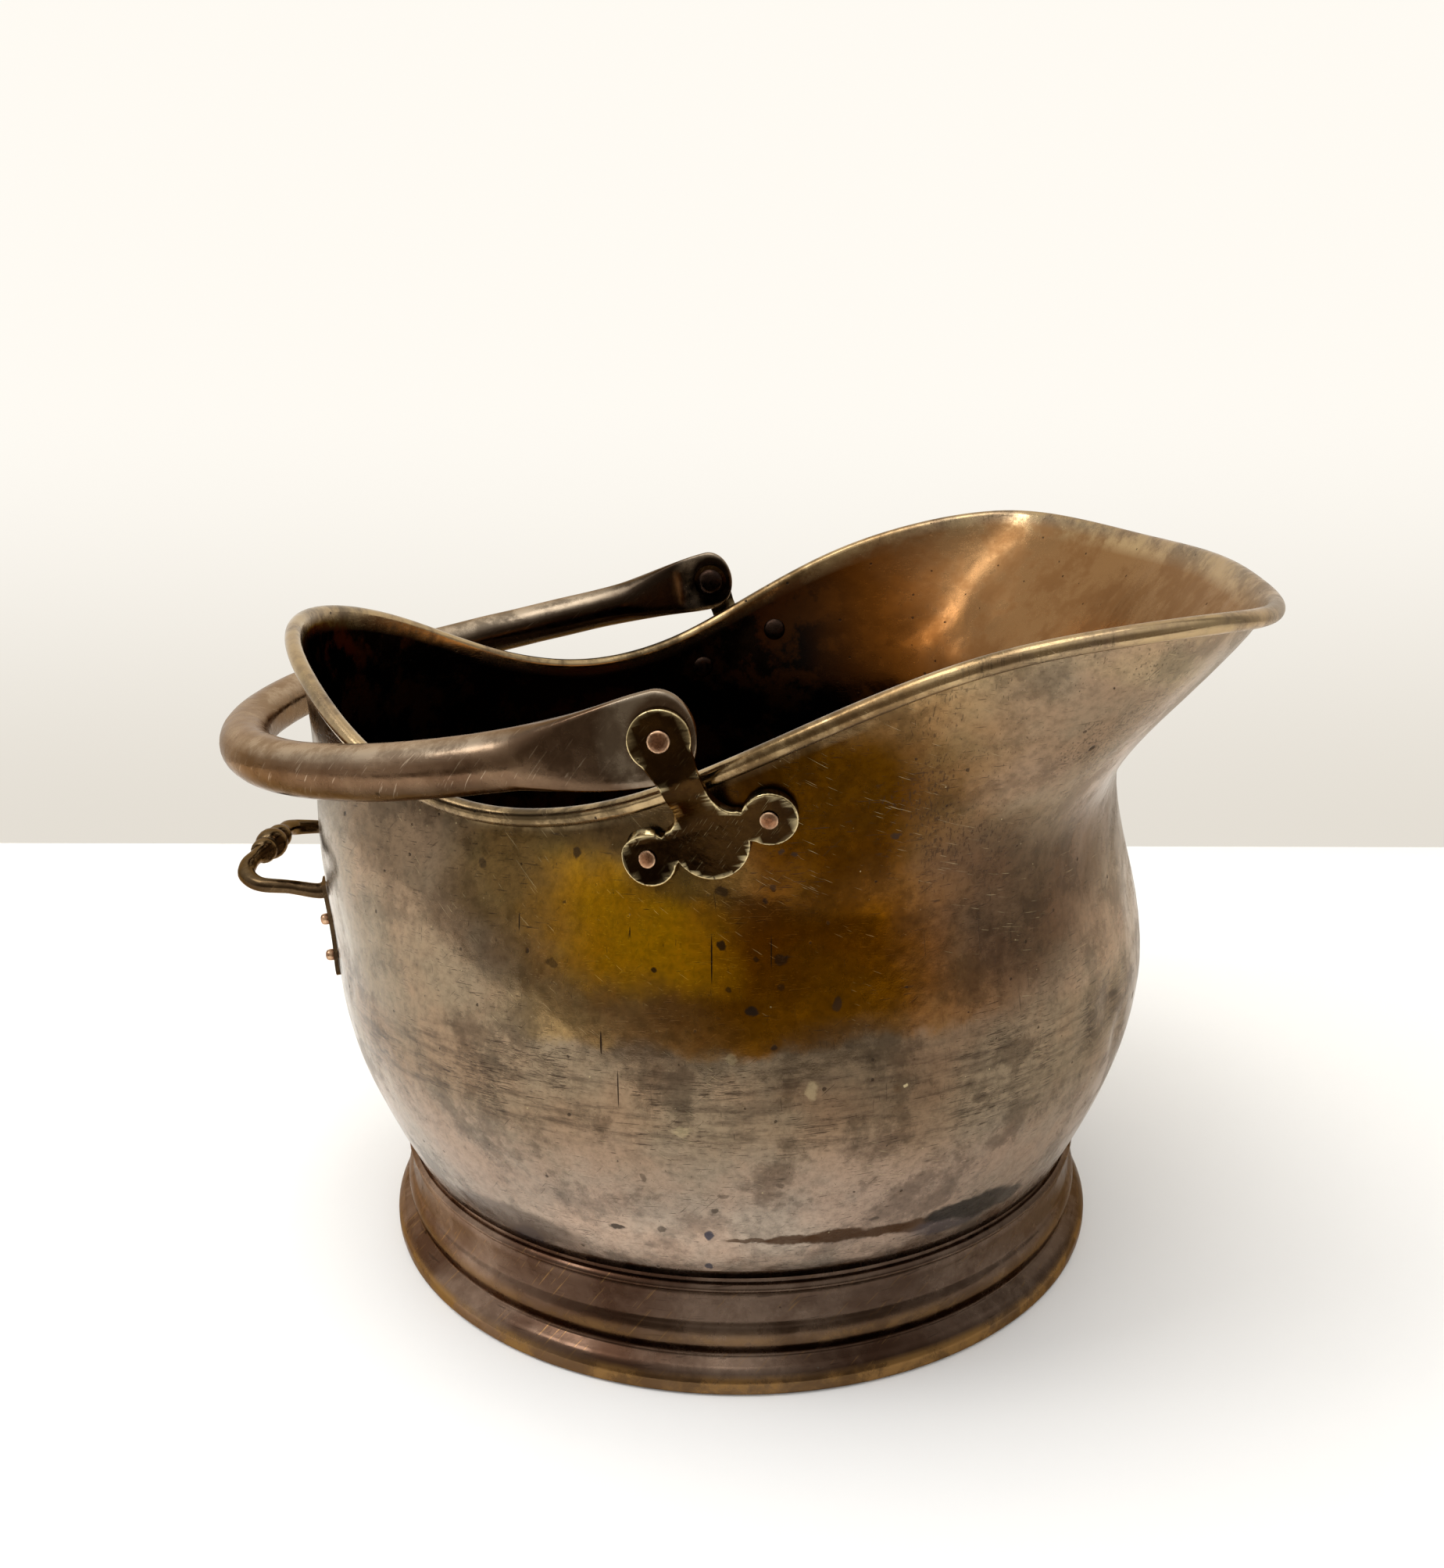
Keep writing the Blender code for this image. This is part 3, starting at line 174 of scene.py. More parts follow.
# profile whose inner corners are rounded by short arcs
def roundProfile(points, radius, steps):
    smooth = [points[0]]
    for before, here, after in zip(points, points[1:], points[2:]):
        a, b, c = Vector(before), Vector(here), Vector(after)
        reach = min(radius, (a - b).length * 0.45, (c - b).length * 0.45)
        start = b + (a - b).normalized() * reach
        end = b + (c - b).normalized() * reach
        for i in range(steps + 1):
            share = i / steps
            bend = start * (1 - share) ** 2 + b * 2 * share * (1 - share) + end * share ** 2
            smooth.append((bend.x, bend.y))
    smooth.append(points[-1])
    return smooth


# new node with its settings; each feed is a socket to link or a value to set
def add(tree, kind, feeds=None, **settings):
    item = tree.nodes.new(kind)
    for key, value in settings.items():
        setattr(item, key, value)
    for key, value in (feeds or {}).items():
        if isinstance(value, bpy.types.NodeSocket):
            tree.links.new(value, item.inputs[key])
        else:
            item.inputs[key].default_value = value
    return item


def calc(tree, operation, first, second):
    return add(tree, "ShaderNodeMath", {0: first, 1: second}, operation=operation).outputs[0]


def times(tree, first, second):
    return calc(tree, "MULTIPLY", first, second)


def vectorCalc(tree, operation, first, second):
    other = "Scale" if operation == "SCALE" else 1
    return add(tree, "ShaderNodeVectorMath", {0: first, other: second}, operation=operation).outputs[0]


def blendColour(tree, share, first, second):
    first, second = ((*tone, 1) if isinstance(tone, tuple) else tone for tone in (first, second))
    return add(tree, "ShaderNodeMix", {0: share, 6: first, 7: second}, data_type="RGBA").outputs[2]


def stretch(tree, value, low, high, toLow=0.0, toHigh=1.0):
    feeds = {"Value": value, "From Min": low, "From Max": high, "To Min": toLow, "To Max": toHigh}
    return add(tree, "ShaderNodeMapRange", feeds, interpolation_type="SMOOTHSTEP").outputs["Result"]


# colour that goes over from the first to the second while the value passes the span
def fade(tree, value, low, high, first, second):
    return blendColour(tree, stretch(tree, value, low, high), first, second)


def axesOf(tree, vector):
    return add(tree, "ShaderNodeSeparateXYZ", {"Vector": vector}).outputs


def painted(tree, name):
    return add(tree, "ShaderNodeAttribute", attribute_name=name).outputs["Fac"]


def noiseAt(tree, vector, scale, detail, roughness, distortion=0.0):
    feeds = {"Vector": vector, "Scale": scale, "Detail": detail, "Roughness": roughness,
             "Distortion": distortion}
    return add(tree, "ShaderNodeTexNoise", feeds).outputs["Fac"]


# group whose inputs are vectors where no value is given, and numbers where one is
def newGroup(name, inputs, outputs, outputKind="NodeSocketFloat"):
    group = bpy.data.node_groups.new(name, "ShaderNodeTree")
    for label, value in inputs.items():
        if value is None:
            group.interface.new_socket(label, in_out="INPUT", socket_type="NodeSocketVector")
        else:
            socket = group.interface.new_socket(label, in_out="INPUT", socket_type="NodeSocketFloat")
            socket.default_value = value
    for label in outputs:
        group.interface.new_socket(label, in_out="OUTPUT", socket_type=outputKind)
    return group, group.nodes.new("NodeGroupInput").outputs, group.nodes.new("NodeGroupOutput").inputs


def useGroup(tree, group, feeds):
    return add(tree, "ShaderNodeGroup", feeds, node_tree=group).outputs


# cloudy patches in two sizes, used for every tarnished surface
tarnishGroup, inlet, outlet = newGroup(
    "tarnish", {"Vector": None, "Patch Scale": 14.0, "Grain Scale": 320.0}, ("Patches", "Clouds", "Grain"))
patches = noiseAt(tarnishGroup, inlet["Vector"], inlet["Patch Scale"], 5.0, 0.6, 0.4)
finer = times(tarnishGroup, inlet["Patch Scale"], 4.3)
clouds = noiseAt(tarnishGroup, inlet["Vector"], finer, 6.0, 0.68, 0.1)
grain = noiseAt(tarnishGroup, inlet["Vector"], inlet["Grain Scale"], 3.0, 0.7)
tarnishGroup.links.new(stretch(tarnishGroup, patches, 0.34, 0.66), outlet["Patches"])
tarnishGroup.links.new(stretch(tarnishGroup, clouds, 0.32, 0.70), outlet["Clouds"])
tarnishGroup.links.new(grain, outlet["Grain"])

# thin dashes: noise drawn out along one way of the surface, kept only at its peaks
dashGroup, inlet, outlet = newGroup(
    "dashes", {"Vector": None, "Draw": None, "Turn": None, "Amount": 0.3}, ("Lines",))
turned = add(dashGroup, "ShaderNodeVectorRotate", {"Vector": inlet["Vector"], "Rotation": inlet["Turn"]},
             rotation_type="EULER_XYZ")
drawn = vectorCalc(dashGroup, "MULTIPLY", turned.outputs[0], inlet["Draw"])
fibres = noiseAt(dashGroup, drawn, 1.0, 2.0, 0.5)
gate = calc(dashGroup, "SUBTRACT", 0.70, times(dashGroup, inlet["Amount"], 0.15))
over = calc(dashGroup, "SUBTRACT", fibres, gate)
dashGroup.links.new(stretch(dashGroup, over, 0.0, 0.04), outlet["Lines"])

# soft-edged blot round a centre, as wide along each axis as its reach
blotGroup, inlet, outlet = newGroup(
    "blot", {"Vector": None, "Centre": None, "Reach": None, "Full": 0.5}, ("Share",))
away = vectorCalc(blotGroup, "SUBTRACT", inlet["Vector"], inlet["Centre"])
shares = vectorCalc(blotGroup, "DIVIDE", away, inlet["Reach"])
length = add(blotGroup, "ShaderNodeVectorMath", {0: shares}, operation="LENGTH").outputs["Value"]
blotGroup.links.new(stretch(blotGroup, length, 1.0, inlet["Full"]), outlet["Share"])

# place shaken by noise, so that what is read there gets torn edges
shakeGroup, inlet, outlet = newGroup(
    "shaken", {"Vector": None, "Scale": 26.0, "Reach": 0.03}, ("Vector",), "NodeSocketVector")
shake = add(shakeGroup, "ShaderNodeTexNoise", {"Vector": inlet["Vector"], "Scale": inlet["Scale"],
            "Detail": 6.0, "Roughness": 0.62}).outputs["Color"]
shake = vectorCalc(shakeGroup, "SUBTRACT", shake, (0.5, 0.5, 0.5))
shake = vectorCalc(shakeGroup, "SCALE", shake, inlet["Reach"])
shakeGroup.links.new(vectorCalc(shakeGroup, "ADD", inlet["Vector"], shake), outlet["Vector"])

# round specks of uneven size, their outlines a little uneven: pits, dots of tarnish, bright pinholes
speckGroup, inlet, outlet = newGroup(
    "specks", {"Vector": None, "Scale": 90.0, "Share": 0.25, "Size": 0.2}, ("Specks", "Halo"))
wobble = add(speckGroup, "ShaderNodeTexNoise", {"Vector": inlet["Vector"], "Detail": 2.0,
             "Scale": times(speckGroup, inlet["Scale"], 5.0)}).outputs["Color"]
wobble = vectorCalc(speckGroup, "SCALE", wobble, calc(speckGroup, "DIVIDE", 0.14, inlet["Scale"]))
moved = vectorCalc(speckGroup, "ADD", inlet["Vector"], wobble)
feeds = {"Vector": moved, "Scale": inlet["Scale"], "Randomness": 1.0}
cells = add(speckGroup, "ShaderNodeTexVoronoi", feeds).outputs
pick = add(speckGroup, "ShaderNodeSeparateColor", {"Color": cells["Color"]}).outputs
kept = calc(speckGroup, "LESS_THAN", pick[0], inlet["Share"])
size = times(speckGroup, inlet["Size"], stretch(speckGroup, pick[1], 0, 1, 0.3, 1))
near = calc(speckGroup, "SUBTRACT", size, cells["Distance"])
for label, low, high in (("Specks", 0.0, 0.03), ("Halo", -0.09, 0.0)):
    speckGroup.links.new(times(speckGroup, stretch(speckGroup, near, low, high), kept), outlet[label])
print("shared effects ready")


def newMetal(name):
    material = bpy.data.materials.new(name)
    material.use_nodes = True
    tree = material.node_tree
    shader = tree.nodes["Principled BSDF"]
    shader.inputs["Metallic"].default_value = 1.0
    shader.inputs["Specular Tint"].default_value = (0.62, 0.52, 0.44, 1)
    place = add(tree, "ShaderNodeTexCoord").outputs["Object"]
    return material, tree, shader, place


# bump from reliefs: a value each, and how many metres it stands out
def addRelief(tree, shader, strength, *reliefs):
    height = 0.0
    for value, reach in reliefs:
        height = calc(tree, "ADD", height, times(tree, value, reach))
    bump = add(tree, "ShaderNodeBump", {"Height": height, "Strength": strength, "Distance": 1.0})
    tree.links.new(bump.outputs["Normal"], shader.inputs["Normal"])


# raised copper of the body: its tones, where one goes over into the next, and its specks
bodyCopper = {
    "rose": (0.350, 0.272, 0.215),
    "tableReflection": (0.50, 0.39, 0.31),
    "tan": (0.290, 0.212, 0.148),
    "clay": (0.235, 0.172, 0.115),
    "rightBeltShade": (0.125, 0.082, 0.050),
    "bronze": (0.30, 0.19, 0.085),
    "ochre": (0.170, 0.062, 0.0004),
    "gold": (0.66, 0.33, 0.001),
    "olive": (0.155, 0.096, 0.028),
    "dusk": (0.066, 0.024, 0.0003),
    "shade": (0.044, 0.026, 0.012),
    "plum": (0.088, 0.052, 0.030),
    "bluish": (0.060, 0.055, 0.072),
    "umber": (0.030, 0.019, 0.013),
    "pale": (0.46, 0.37, 0.21),
    "rubbedAndSheen": (0.50, 0.36, 0.19),
    "black": (0.010, 0.008, 0.007),
    "amber": (0.060, 0.022, 0.003),
    "deep": (0.150, 0.048, 0.006),
    "inside": (0.27, 0.145, 0.060),
    "warmer": (1.07, 0.98, 0.90), "cooler": (0.97, 0.995, 0.96),
    "edgeLeft": (1.0, 0.99, 0.97), "edgeRight": (0.82, 0.75, 0.68),
    "edgeDeep": (0.24, 0.16, 0.10), "edgeMouth": (0.80, 0.70, 0.60),
    "bellyFade": (0.066, 0.094), "upperFade": (0.1150, 0.1195), "backFade": (-0.065, -0.040),
    "frontFade": (0.05, 0.10), "beltFrom": (0.080, 0.090), "beltTo": (0.120, 0.108),
    "scoredX": (0.035, 0.06), "scoredZ": (0.150, 0.170), "footJointShade": (0.0392, 0.0362),
    "spots": (62.0, 0.30, 0.10), "dots": (230.0, 0.24, 0.15), "pins": (430.0, 0.07, 0.13),
    "roughness": (0.16, 0.30),
}
# zones of colour above the belly, one of them painted shade: tone, x and height of the middle, reach, strength
highZones = (
    ("ochre", 0.030, 0.136, 0.072, 0.050, 1.0),
    ("olive", -0.046, 0.160, 0.036, 0.026, 0.85),
    ("gold", -0.020, 0.149, 0.034, 0.024, 0.90),
    ("gold", -0.010, 0.140, 0.026, 0.014, 0.70),
    ("dusk", 0.030, 0.184, 0.056, 0.044, 1.0),
    ("olive", -0.004, 0.1620, 0.022, 0.009, 0.70),
    # painted shadow: the shade zone under the bead stands for the bail bar's shadow and its dark reflection
    ("shade", -0.050, 0.181, 0.054, 0.022, 1.0),
)
# zones over the whole wall
zones = (
    ("clay", 0.088, 0.207, 0.034, 0.026, 0.60),
    # painted shade: the dun zone darkens the belt towards the right, away from the light
    ("rightBeltShade", 0.042, 0.106, 0.048, 0.022, 0.75),
    ("plum", 0.082, 0.142, 0.038, 0.042, 1.0),
    ("plum", 0.106, 0.160, 0.030, 0.026, 0.90),
    ("plum", 0.074, 0.167, 0.026, 0.018, 0.85),
    ("rose", 0.082, 0.186, 0.022, 0.010, 0.30),
    # painted reflection: the blush zone lightens the low belly where it mirrors the bright table
    ("tableReflection", -0.005, 0.052, 0.075, 0.020, 0.90),
    ("pale", 0.112, 0.218, 0.026, 0.008, 0.30),
)
# marks on the side towards the camera: tone, x, height, reach, strength
marks = (
    ("umber", 0.0033, 0.1459, 0.0014, 0.0014, 0.9), ("umber", 0.0113, 0.1279, 0.0020, 0.0018, 0.95),
    ("umber", 0.0337, 0.1290, 0.0016, 0.0022, 0.75), ("umber", -0.0146, 0.1382, 0.0010, 0.0011, 0.9),
    ("umber", -0.0427, 0.1375, 0.0022, 0.0016, 0.55), ("umber", -0.0359, 0.1660, 0.0013, 0.0018, 0.8),
    ("umber", -0.0634, 0.1598, 0.0014, 0.0018, 0.6), ("umber", 0.0145, 0.1574, 0.0010, 0.0010, 0.8),
    ("umber", 0.0031, 0.1599, 0.0022, 0.0018, 0.7), ("umber", 0.0188, 0.1419, 0.0020, 0.0018, 0.75),
    ("umber", 0.0123, 0.1417, 0.0011, 0.0010, 0.7), ("umber", 0.0484, 0.1746, 0.0017, 0.0012, 0.85),
    ("umber", 0.0188, 0.1717, 0.0010, 0.0009, 0.8), ("umber", 0.0223, 0.1709, 0.0009, 0.0010, 0.8),
    ("umber", 0.0051, 0.1339, 0.0009, 0.0009, 0.7), ("umber", 0.0188, 0.1345, 0.0011, 0.0012, 0.6),
    ("umber", -0.0275, 0.0552, 0.0034, 0.0012, 0.9), ("bluish", -0.0013, 0.0549, 0.0013, 0.0024, 0.95),
    ("umber", 0.0006, 0.0655, 0.0014, 0.0012, 0.7), ("bluish", -0.0017, 0.0410, 0.0014, 0.0016, 0.9),
    ("umber", -0.0146, 0.0564, 0.0018, 0.0016, 0.6), ("umber", -0.0190, 0.0764, 0.0010, 0.0016, 0.5),
    ("umber", 0.0030, 0.0714, 0.0020, 0.0009, 0.5), ("umber", 0.0189, 0.0753, 0.0013, 0.0012, 0.5),
    ("umber", 0.0453, 0.0571, 0.0018, 0.0009, 0.6), ("bluish", -0.0568, 0.0390, 0.0060, 0.0060, 0.9),
    ("plum", -0.060, 0.0450, 0.0260, 0.0080, 0.75), ("umber", 0.0743, 0.0942, 0.0030, 0.0020, 0.5),
    ("pale", 0.0057, 0.1150, 0.0020, 0.0020, 0.35), ("pale", -0.0078, 0.0935, 0.0030, 0.0020, 0.35),
    ("pale", 0.0270, 0.1048, 0.0022, 0.0034, 0.30), ("pale", 0.0524, 0.1038, 0.0006, 0.0007, 0.9),
    ("amber", 0.0100, 0.0530, 0.0090, 0.0012, 0.8), ("amber", 0.0220, 0.0526, 0.0100, 0.0026, 0.9),
    ("amber", 0.0340, 0.0525, 0.0120, 0.0034, 0.95), ("amber", 0.0480, 0.0509, 0.0120, 0.0026, 0.95),
    ("amber", 0.0590, 0.0503, 0.0100, 0.0034, 0.9), ("bluish", 0.0700, 0.0470, 0.0160, 0.0050, 0.6),
    ("black", 0.0690, 0.0518, 0.0100, 0.0042, 0.95), ("black", 0.0790, 0.0500, 0.0120, 0.0066, 1.0),
    ("black", 0.0870, 0.0478, 0.0070, 0.0044, 0.95),
)
# single cuts: x, height, half width, half length
cuts = (
    (-0.0248, 0.1048, 0.00022, 0.0062), (-0.0292, 0.1174, 0.00030, 0.0038), (0.0007, 0.1418, 0.00024, 0.0076),
    (0.0163, 0.1440, 0.00018, 0.0053), (-0.0520, 0.1469, 0.00020, 0.0028), (-0.0210, 0.1477, 0.00018, 0.0016),
)


def makeBodyCopper():
    look = bodyCopper
    material, tree, shader, place = newMetal("bodyCopper")
    tarnish = useGroup(tree, tarnishGroup, {"Vector": place, "Patch Scale": 13.0, "Grain Scale": 420.0})
    clouds = tarnish["Clouds"]
    flat = vectorCalc(tree, "MULTIPLY", place, (1.0, 0.0, 1.0))
    torn = useGroup(tree, shakeGroup, {"Vector": flat, "Scale": 24.0, "Reach": 0.030})["Vector"]
    frayed = useGroup(tree, shakeGroup, {"Vector": flat, "Scale": 260.0, "Reach": 0.0034})["Vector"]
    spread, exact = axesOf(tree, torn), axesOf(tree, place)

    def blot(vector, x, height, reachX, reachZ, full):
        feeds = {"Vector": vector, "Centre": (x, 0, height), "Reach": (reachX, 1, reachZ), "Full": full}
        return useGroup(tree, blotGroup, feeds)["Share"]

    def blotted(start, table, vector, full):
        for name, x, height, reachX, reachZ, strength in table:
            share = times(tree, blot(vector, x, height, reachX, reachZ, full), strength)
            start = blendColour(tree, share, start, look[name])
        return start

    def specked(name):
        scale, share, size = look[name]
        return useGroup(tree, speckGroup, {"Vector": place, "Scale": scale, "Share": share, "Size": size})

    lower = fade(tree, spread["Z"], *look["bellyFade"], look["rose"], look["clay"])
    lower = blendColour(tree, stretch(tree, clouds, 0.4, 1.0, 0.0, 0.30), lower, look["plum"])
    upper = fade(tree, spread["X"], *look["backFade"], look["clay"], look["bronze"])
    upper = fade(tree, spread["X"], *look["frontFade"], upper, look["tan"])
    upper = blotted(upper, highZones, torn, 0.30)
    colour = fade(tree, spread["Z"], *look["upperFade"], lower, upper)
    colour = blotted(colour, zones, torn, 0.30)
    # clouds and grain only deepen the tone that is there
    deepen = times(tree, stretch(tree, clouds, 0.3, 1.0, 1.0, 0.68),
                   stretch(tree, tarnish["Grain"], 0.35, 0.75, 1.06, 0.74))
    colour = vectorCalc(tree, "SCALE", colour, deepen)
    hue = fade(tree, noiseAt(tree, place, 26.0, 4.0, 0.6), 0.38, 0.62, look["warmer"], look["cooler"])
    colour = vectorCalc(tree, "MULTIPLY", colour, hue)
    # belt of stains and crowded scratches round the belly
    belt = times(tree, stretch(tree, spread["Z"], *look["beltFrom"]),
                 stretch(tree, spread["Z"], *look["beltTo"]))
    streaky = vectorCalc(tree, "MULTIPLY", place, (60.0, 60.0, 420.0))
    stain = stretch(tree, noiseAt(tree, streaky, 1.0, 6.0, 0.7), 0.42, 0.72, 0.0, 0.65)
    colour = blendColour(tree, times(tree, belt, stain), colour, look["umber"])
    crowd = stretch(tree, noiseAt(tree, place, 42.0, 3.0, 0.6), 0.36, 0.64)
    crowdedBelt = times(tree, crowd, stretch(tree, belt, 0.0, 1.0, 0.35, 1.0))
    upRight = times(tree, stretch(tree, exact["X"], *look["scoredX"]),
                    stretch(tree, exact["Z"], *look["scoredZ"]))
    # how the noise is drawn out along each axis, turn, amount, strength, tone
    scratches = (
        ((160.0, 160.0, 2600.0), (0.0, 0.05, 0.0), crowdedBelt, 0.70, "umber"),
        ((420.0, 420.0, 3600.0), (0.0, -0.08, 0.0), crowdedBelt, 0.45, "umber"),
        ((1700.0, 1700.0, 60.0), (0.04, 0.08, 0.0), times(tree, crowd, upRight), 0.55, "umber"),
        ((110.0, 110.0, 2900.0), (0.5, 0.7, 0.3), stretch(tree, crowd, 0.0, 1.0, -0.3, 0.1), 0.55, "umber"),
        ((120.0, 120.0, 3800.0), (-0.4, -0.5, 0.2), stretch(tree, crowd, 0.0, 1.0, -0.3, 0.15), 0.45, "pale"),
    )
    cutDepth = 0.0
    for draw, turn, amount, strength, name in scratches:
        feeds = {"Vector": place, "Draw": draw, "Turn": turn, "Amount": amount}
        lines = useGroup(tree, dashGroup, feeds)["Lines"]
        colour = blendColour(tree, times(tree, lines, strength), colour, look[name])
        cutDepth = calc(tree, "MAXIMUM", cutDepth, lines)
    marked = blotted(colour, marks, frayed, 0.62)
    for x, height, halfWidth, halfLength in cuts:
        marked = blendColour(tree, blot(flat, x, height, halfWidth, halfLength, 0.7), marked, look["umber"])
    colour = blendColour(tree, calc(tree, "LESS_THAN", exact["Y"], 0.0), colour, marked)
    spots, dots, pins = specked("spots"), specked("dots"), specked("pins")
    for mask, strength, name in ((spots["Halo"], 0.25, "amber"), (spots["Specks"], 0.85, "umber"),
                                 (dots["Specks"], 0.65, "umber"), (pins["Specks"], 0.60, "pale")):
        colour = blendColour(tree, times(tree, mask, strength), colour, look[name])
    # inner face: brown under the spout, near black low down and at the back
    inner = painted(tree, "inner")
    depth = calc(tree, "ADD", spread["X"], times(tree, calc(tree, "SUBTRACT", spread["Z"], 0.15), 0.45))
    inside = fade(tree, depth, 0.030, 0.085, look["black"], look["deep"])
    inside = fade(tree, depth, 0.075, 0.135, inside, look["inside"])
    inside = blendColour(tree, times(tree, stretch(tree, clouds, 0.4, 0.9), 0.3), inside, look["deep"])
    inside = blendColour(tree, times(tree, dots["Specks"], 0.7), inside, look["black"])
    colour = blendColour(tree, inner, colour, inside)
    # rubbed wired edge
    wearAndSheen = painted(tree, "wearAndSheen")
    rubAndSheen = times(tree, wearAndSheen, stretch(tree, clouds, 0.0, 0.9, 0.85, 0.15))
    colour = blendColour(tree, rubAndSheen, colour, look["rubbedAndSheen"])
    colour = blendColour(tree, times(tree, times(tree, wearAndSheen, dots["Specks"]), 0.9), colour, look["umber"])
    # painted shade: a thin dark line where the wall meets the foot
    colour = blendColour(tree, stretch(tree, exact["Z"], *look["footJointShade"], 0.0, 0.8), colour, look["amber"])
    tree.links.new(colour, shader.inputs["Base Color"])
    outerEdge = fade(tree, exact["X"], 0.03, 0.09, look["edgeLeft"], look["edgeRight"])
    innerEdge = fade(tree, depth, 0.03, 0.11, look["edgeDeep"], look["edgeMouth"])
    tree.links.new(blendColour(tree, inner, outerEdge, innerEdge), shader.inputs["Specular Tint"])
    sunk = calc(tree, "MAXIMUM", spots["Specks"], dots["Specks"])
    rough = calc(tree, "ADD", stretch(tree, clouds, 0.1, 0.9, *look["roughness"]), times(tree, sunk, 0.25))
    rough = calc(tree, "ADD", rough, times(tree, inner, 0.06))
    tree.links.new(rough, shader.inputs["Roughness"])
    planish = noiseAt(tree, place, 70.0, 2.0, 0.5)
    addRelief(tree, shader, 0.55, (planish, 0.0007), (tarnish["Grain"], 0.00005), (sunk, -0.00010),
              (cutDepth, -0.00002))
    return material


# the plainer metals share one tree and differ by their looks
def makeMetal(name, look):
    material, tree, shader, place = newMetal(name)
    feeds = {"Vector": place, "Patch Scale": look["patchScale"], "Grain Scale": look["grainScale"]}
    tarnish = useGroup(tree, tarnishGroup, feeds)
    clouds = tarnish["Clouds"]
    colour = blendColour(tree, tarnish["Patches"], look["dark"], look["light"])
    colour = blendColour(tree, stretch(tree, clouds, 0.3, 0.9, 0.0, 0.6), colour, look["mid"])
    colour = blendColour(tree, stretch(tree, tarnish["Grain"], 0.3, 0.8, 0.0, 0.3), colour, look["dark"])
    fine = look["scratchScale"]
    for turn, strength, tone in (((0.0, 0.05, 0.0), 0.5, "pitAndShade"), ((0.6, 0.8, 0.3), look["scored"], "rubbedAndSheen")):
        amount = times(tree, clouds, 0.45)
        feeds = {"Vector": place, "Draw": (fine, fine, fine * 26), "Turn": turn, "Amount": amount}
        lines = useGroup(tree, dashGroup, feeds)["Lines"]
        colour = blendColour(tree, times(tree, lines, strength), colour, look[tone])
    # colour scaled from one end of the piece to the other; on the foot and the bail this is painted light and
    # shade, the foot lighter on its left, the bail lighter on its near side and dark on its far side
    axis, *lean = look["lean"]
    colour = vectorCalc(tree, "SCALE", colour, stretch(tree, axesOf(tree, place)[axis], *lean))
    # rubbed wear, and on the bail the painted highlight along its top
    rubAndSheen = times(tree, painted(tree, "wearAndSheen"), stretch(tree, clouds, 0.0, 0.8, 1.0, look["wearLeft"]))
    colour = blendColour(tree, rubAndSheen, colour, look["rubbedAndSheen"])
    # the inner field darkens to the pit tone: the inside heads of the rivets, and as painted shade the bail's
    # underside and ends
    colour = blendColour(tree, times(tree, painted(tree, "inner"), 0.92), colour, look["pitAndShade"])
    feeds = {"Vector": place, "Scale": look["pitScale"], "Share": look["pitShare"], "Size": 0.16}
    pits = useGroup(tree, speckGroup, feeds)["Specks"]
    colour = blendColour(tree, times(tree, pits, 0.7), colour, look["pitAndShade"])
    if look.get("verdigris"):
        crust = stretch(tree, noiseAt(tree, place, 95.0, 8.0, 0.75, 0.6), 0.66, 0.74)
        green = times(tree, crust, stretch(tree, painted(tree, "hollow"), 0.0, 1.0, 0.05, 0.8))
        colour = blendColour(tree, green, colour, look["verdigris"])
        tree.links.new(calc(tree, "SUBTRACT", 1.0, times(tree, green, 0.8)), shader.inputs["Metallic"])
    tree.links.new(colour, shader.inputs["Base Color"])
    smooth, dull = look["roughness"]
    tree.links.new(stretch(tree, clouds, 0.1, 0.9, dull, smooth), shader.inputs["Roughness"])
    hammer = noiseAt(tree, place, look["hammerScale"], 2.0, 0.5)
    addRelief(tree, shader, 0.6, (hammer, look["hammerDepth"]), (tarnish["Grain"], 0.00005), (pits, -0.00008))
    return material


# lean: the axis, where it runs and how the colour is scaled; on the foot and the bail it is painted light and
# shade
footLook = {
    "dark": (0.055, 0.028, 0.017), "mid": (0.100, 0.060, 0.040), "light": (0.225, 0.155, 0.112),
    "rubbedAndSheen": (0.28, 0.155, 0.055), "pitAndShade": (0.020, 0.013, 0.010), "verdigris": (0.26, 0.31, 0.26),
    "patchScale": 16.0, "grainScale": 380.0, "scratchScale": 80.0, "pitScale": 110.0, "pitShare": 0.22,
    "hammerScale": 60.0, "hammerDepth": 0.0004, "roughness": (0.18, 0.31), "wearLeft": 0.3,
    "lean": ("X", -0.11, 0.02, 1.75, 0.62), "scored": 0.45,
}
bailLook = {
    "dark": (0.085, 0.046, 0.025), "mid": (0.115, 0.066, 0.038), "light": (0.205, 0.130, 0.078),
    "rubbedAndSheen": (0.60, 0.48, 0.35), "pitAndShade": (0.026, 0.018, 0.012),
    "patchScale": 22.0, "grainScale": 450.0, "scratchScale": 120.0, "pitScale": 150.0, "pitShare": 0.25,
    "hammerScale": 110.0, "hammerDepth": 0.0004, "roughness": (0.15, 0.29), "wearLeft": 0.45,
    "lean": ("Y", 0.02, 0.10, 1.35, 0.30), "scored": 0.45,
}
handleLook = {
    **bailLook, "dark": (0.030, 0.017, 0.009), "mid": (0.060, 0.035, 0.018), "light": (0.115, 0.072, 0.036),
    "rubbedAndSheen": (0.32, 0.22, 0.11), "lean": ("Y", 0.0, 0.05, 1.0, 0.9),
}
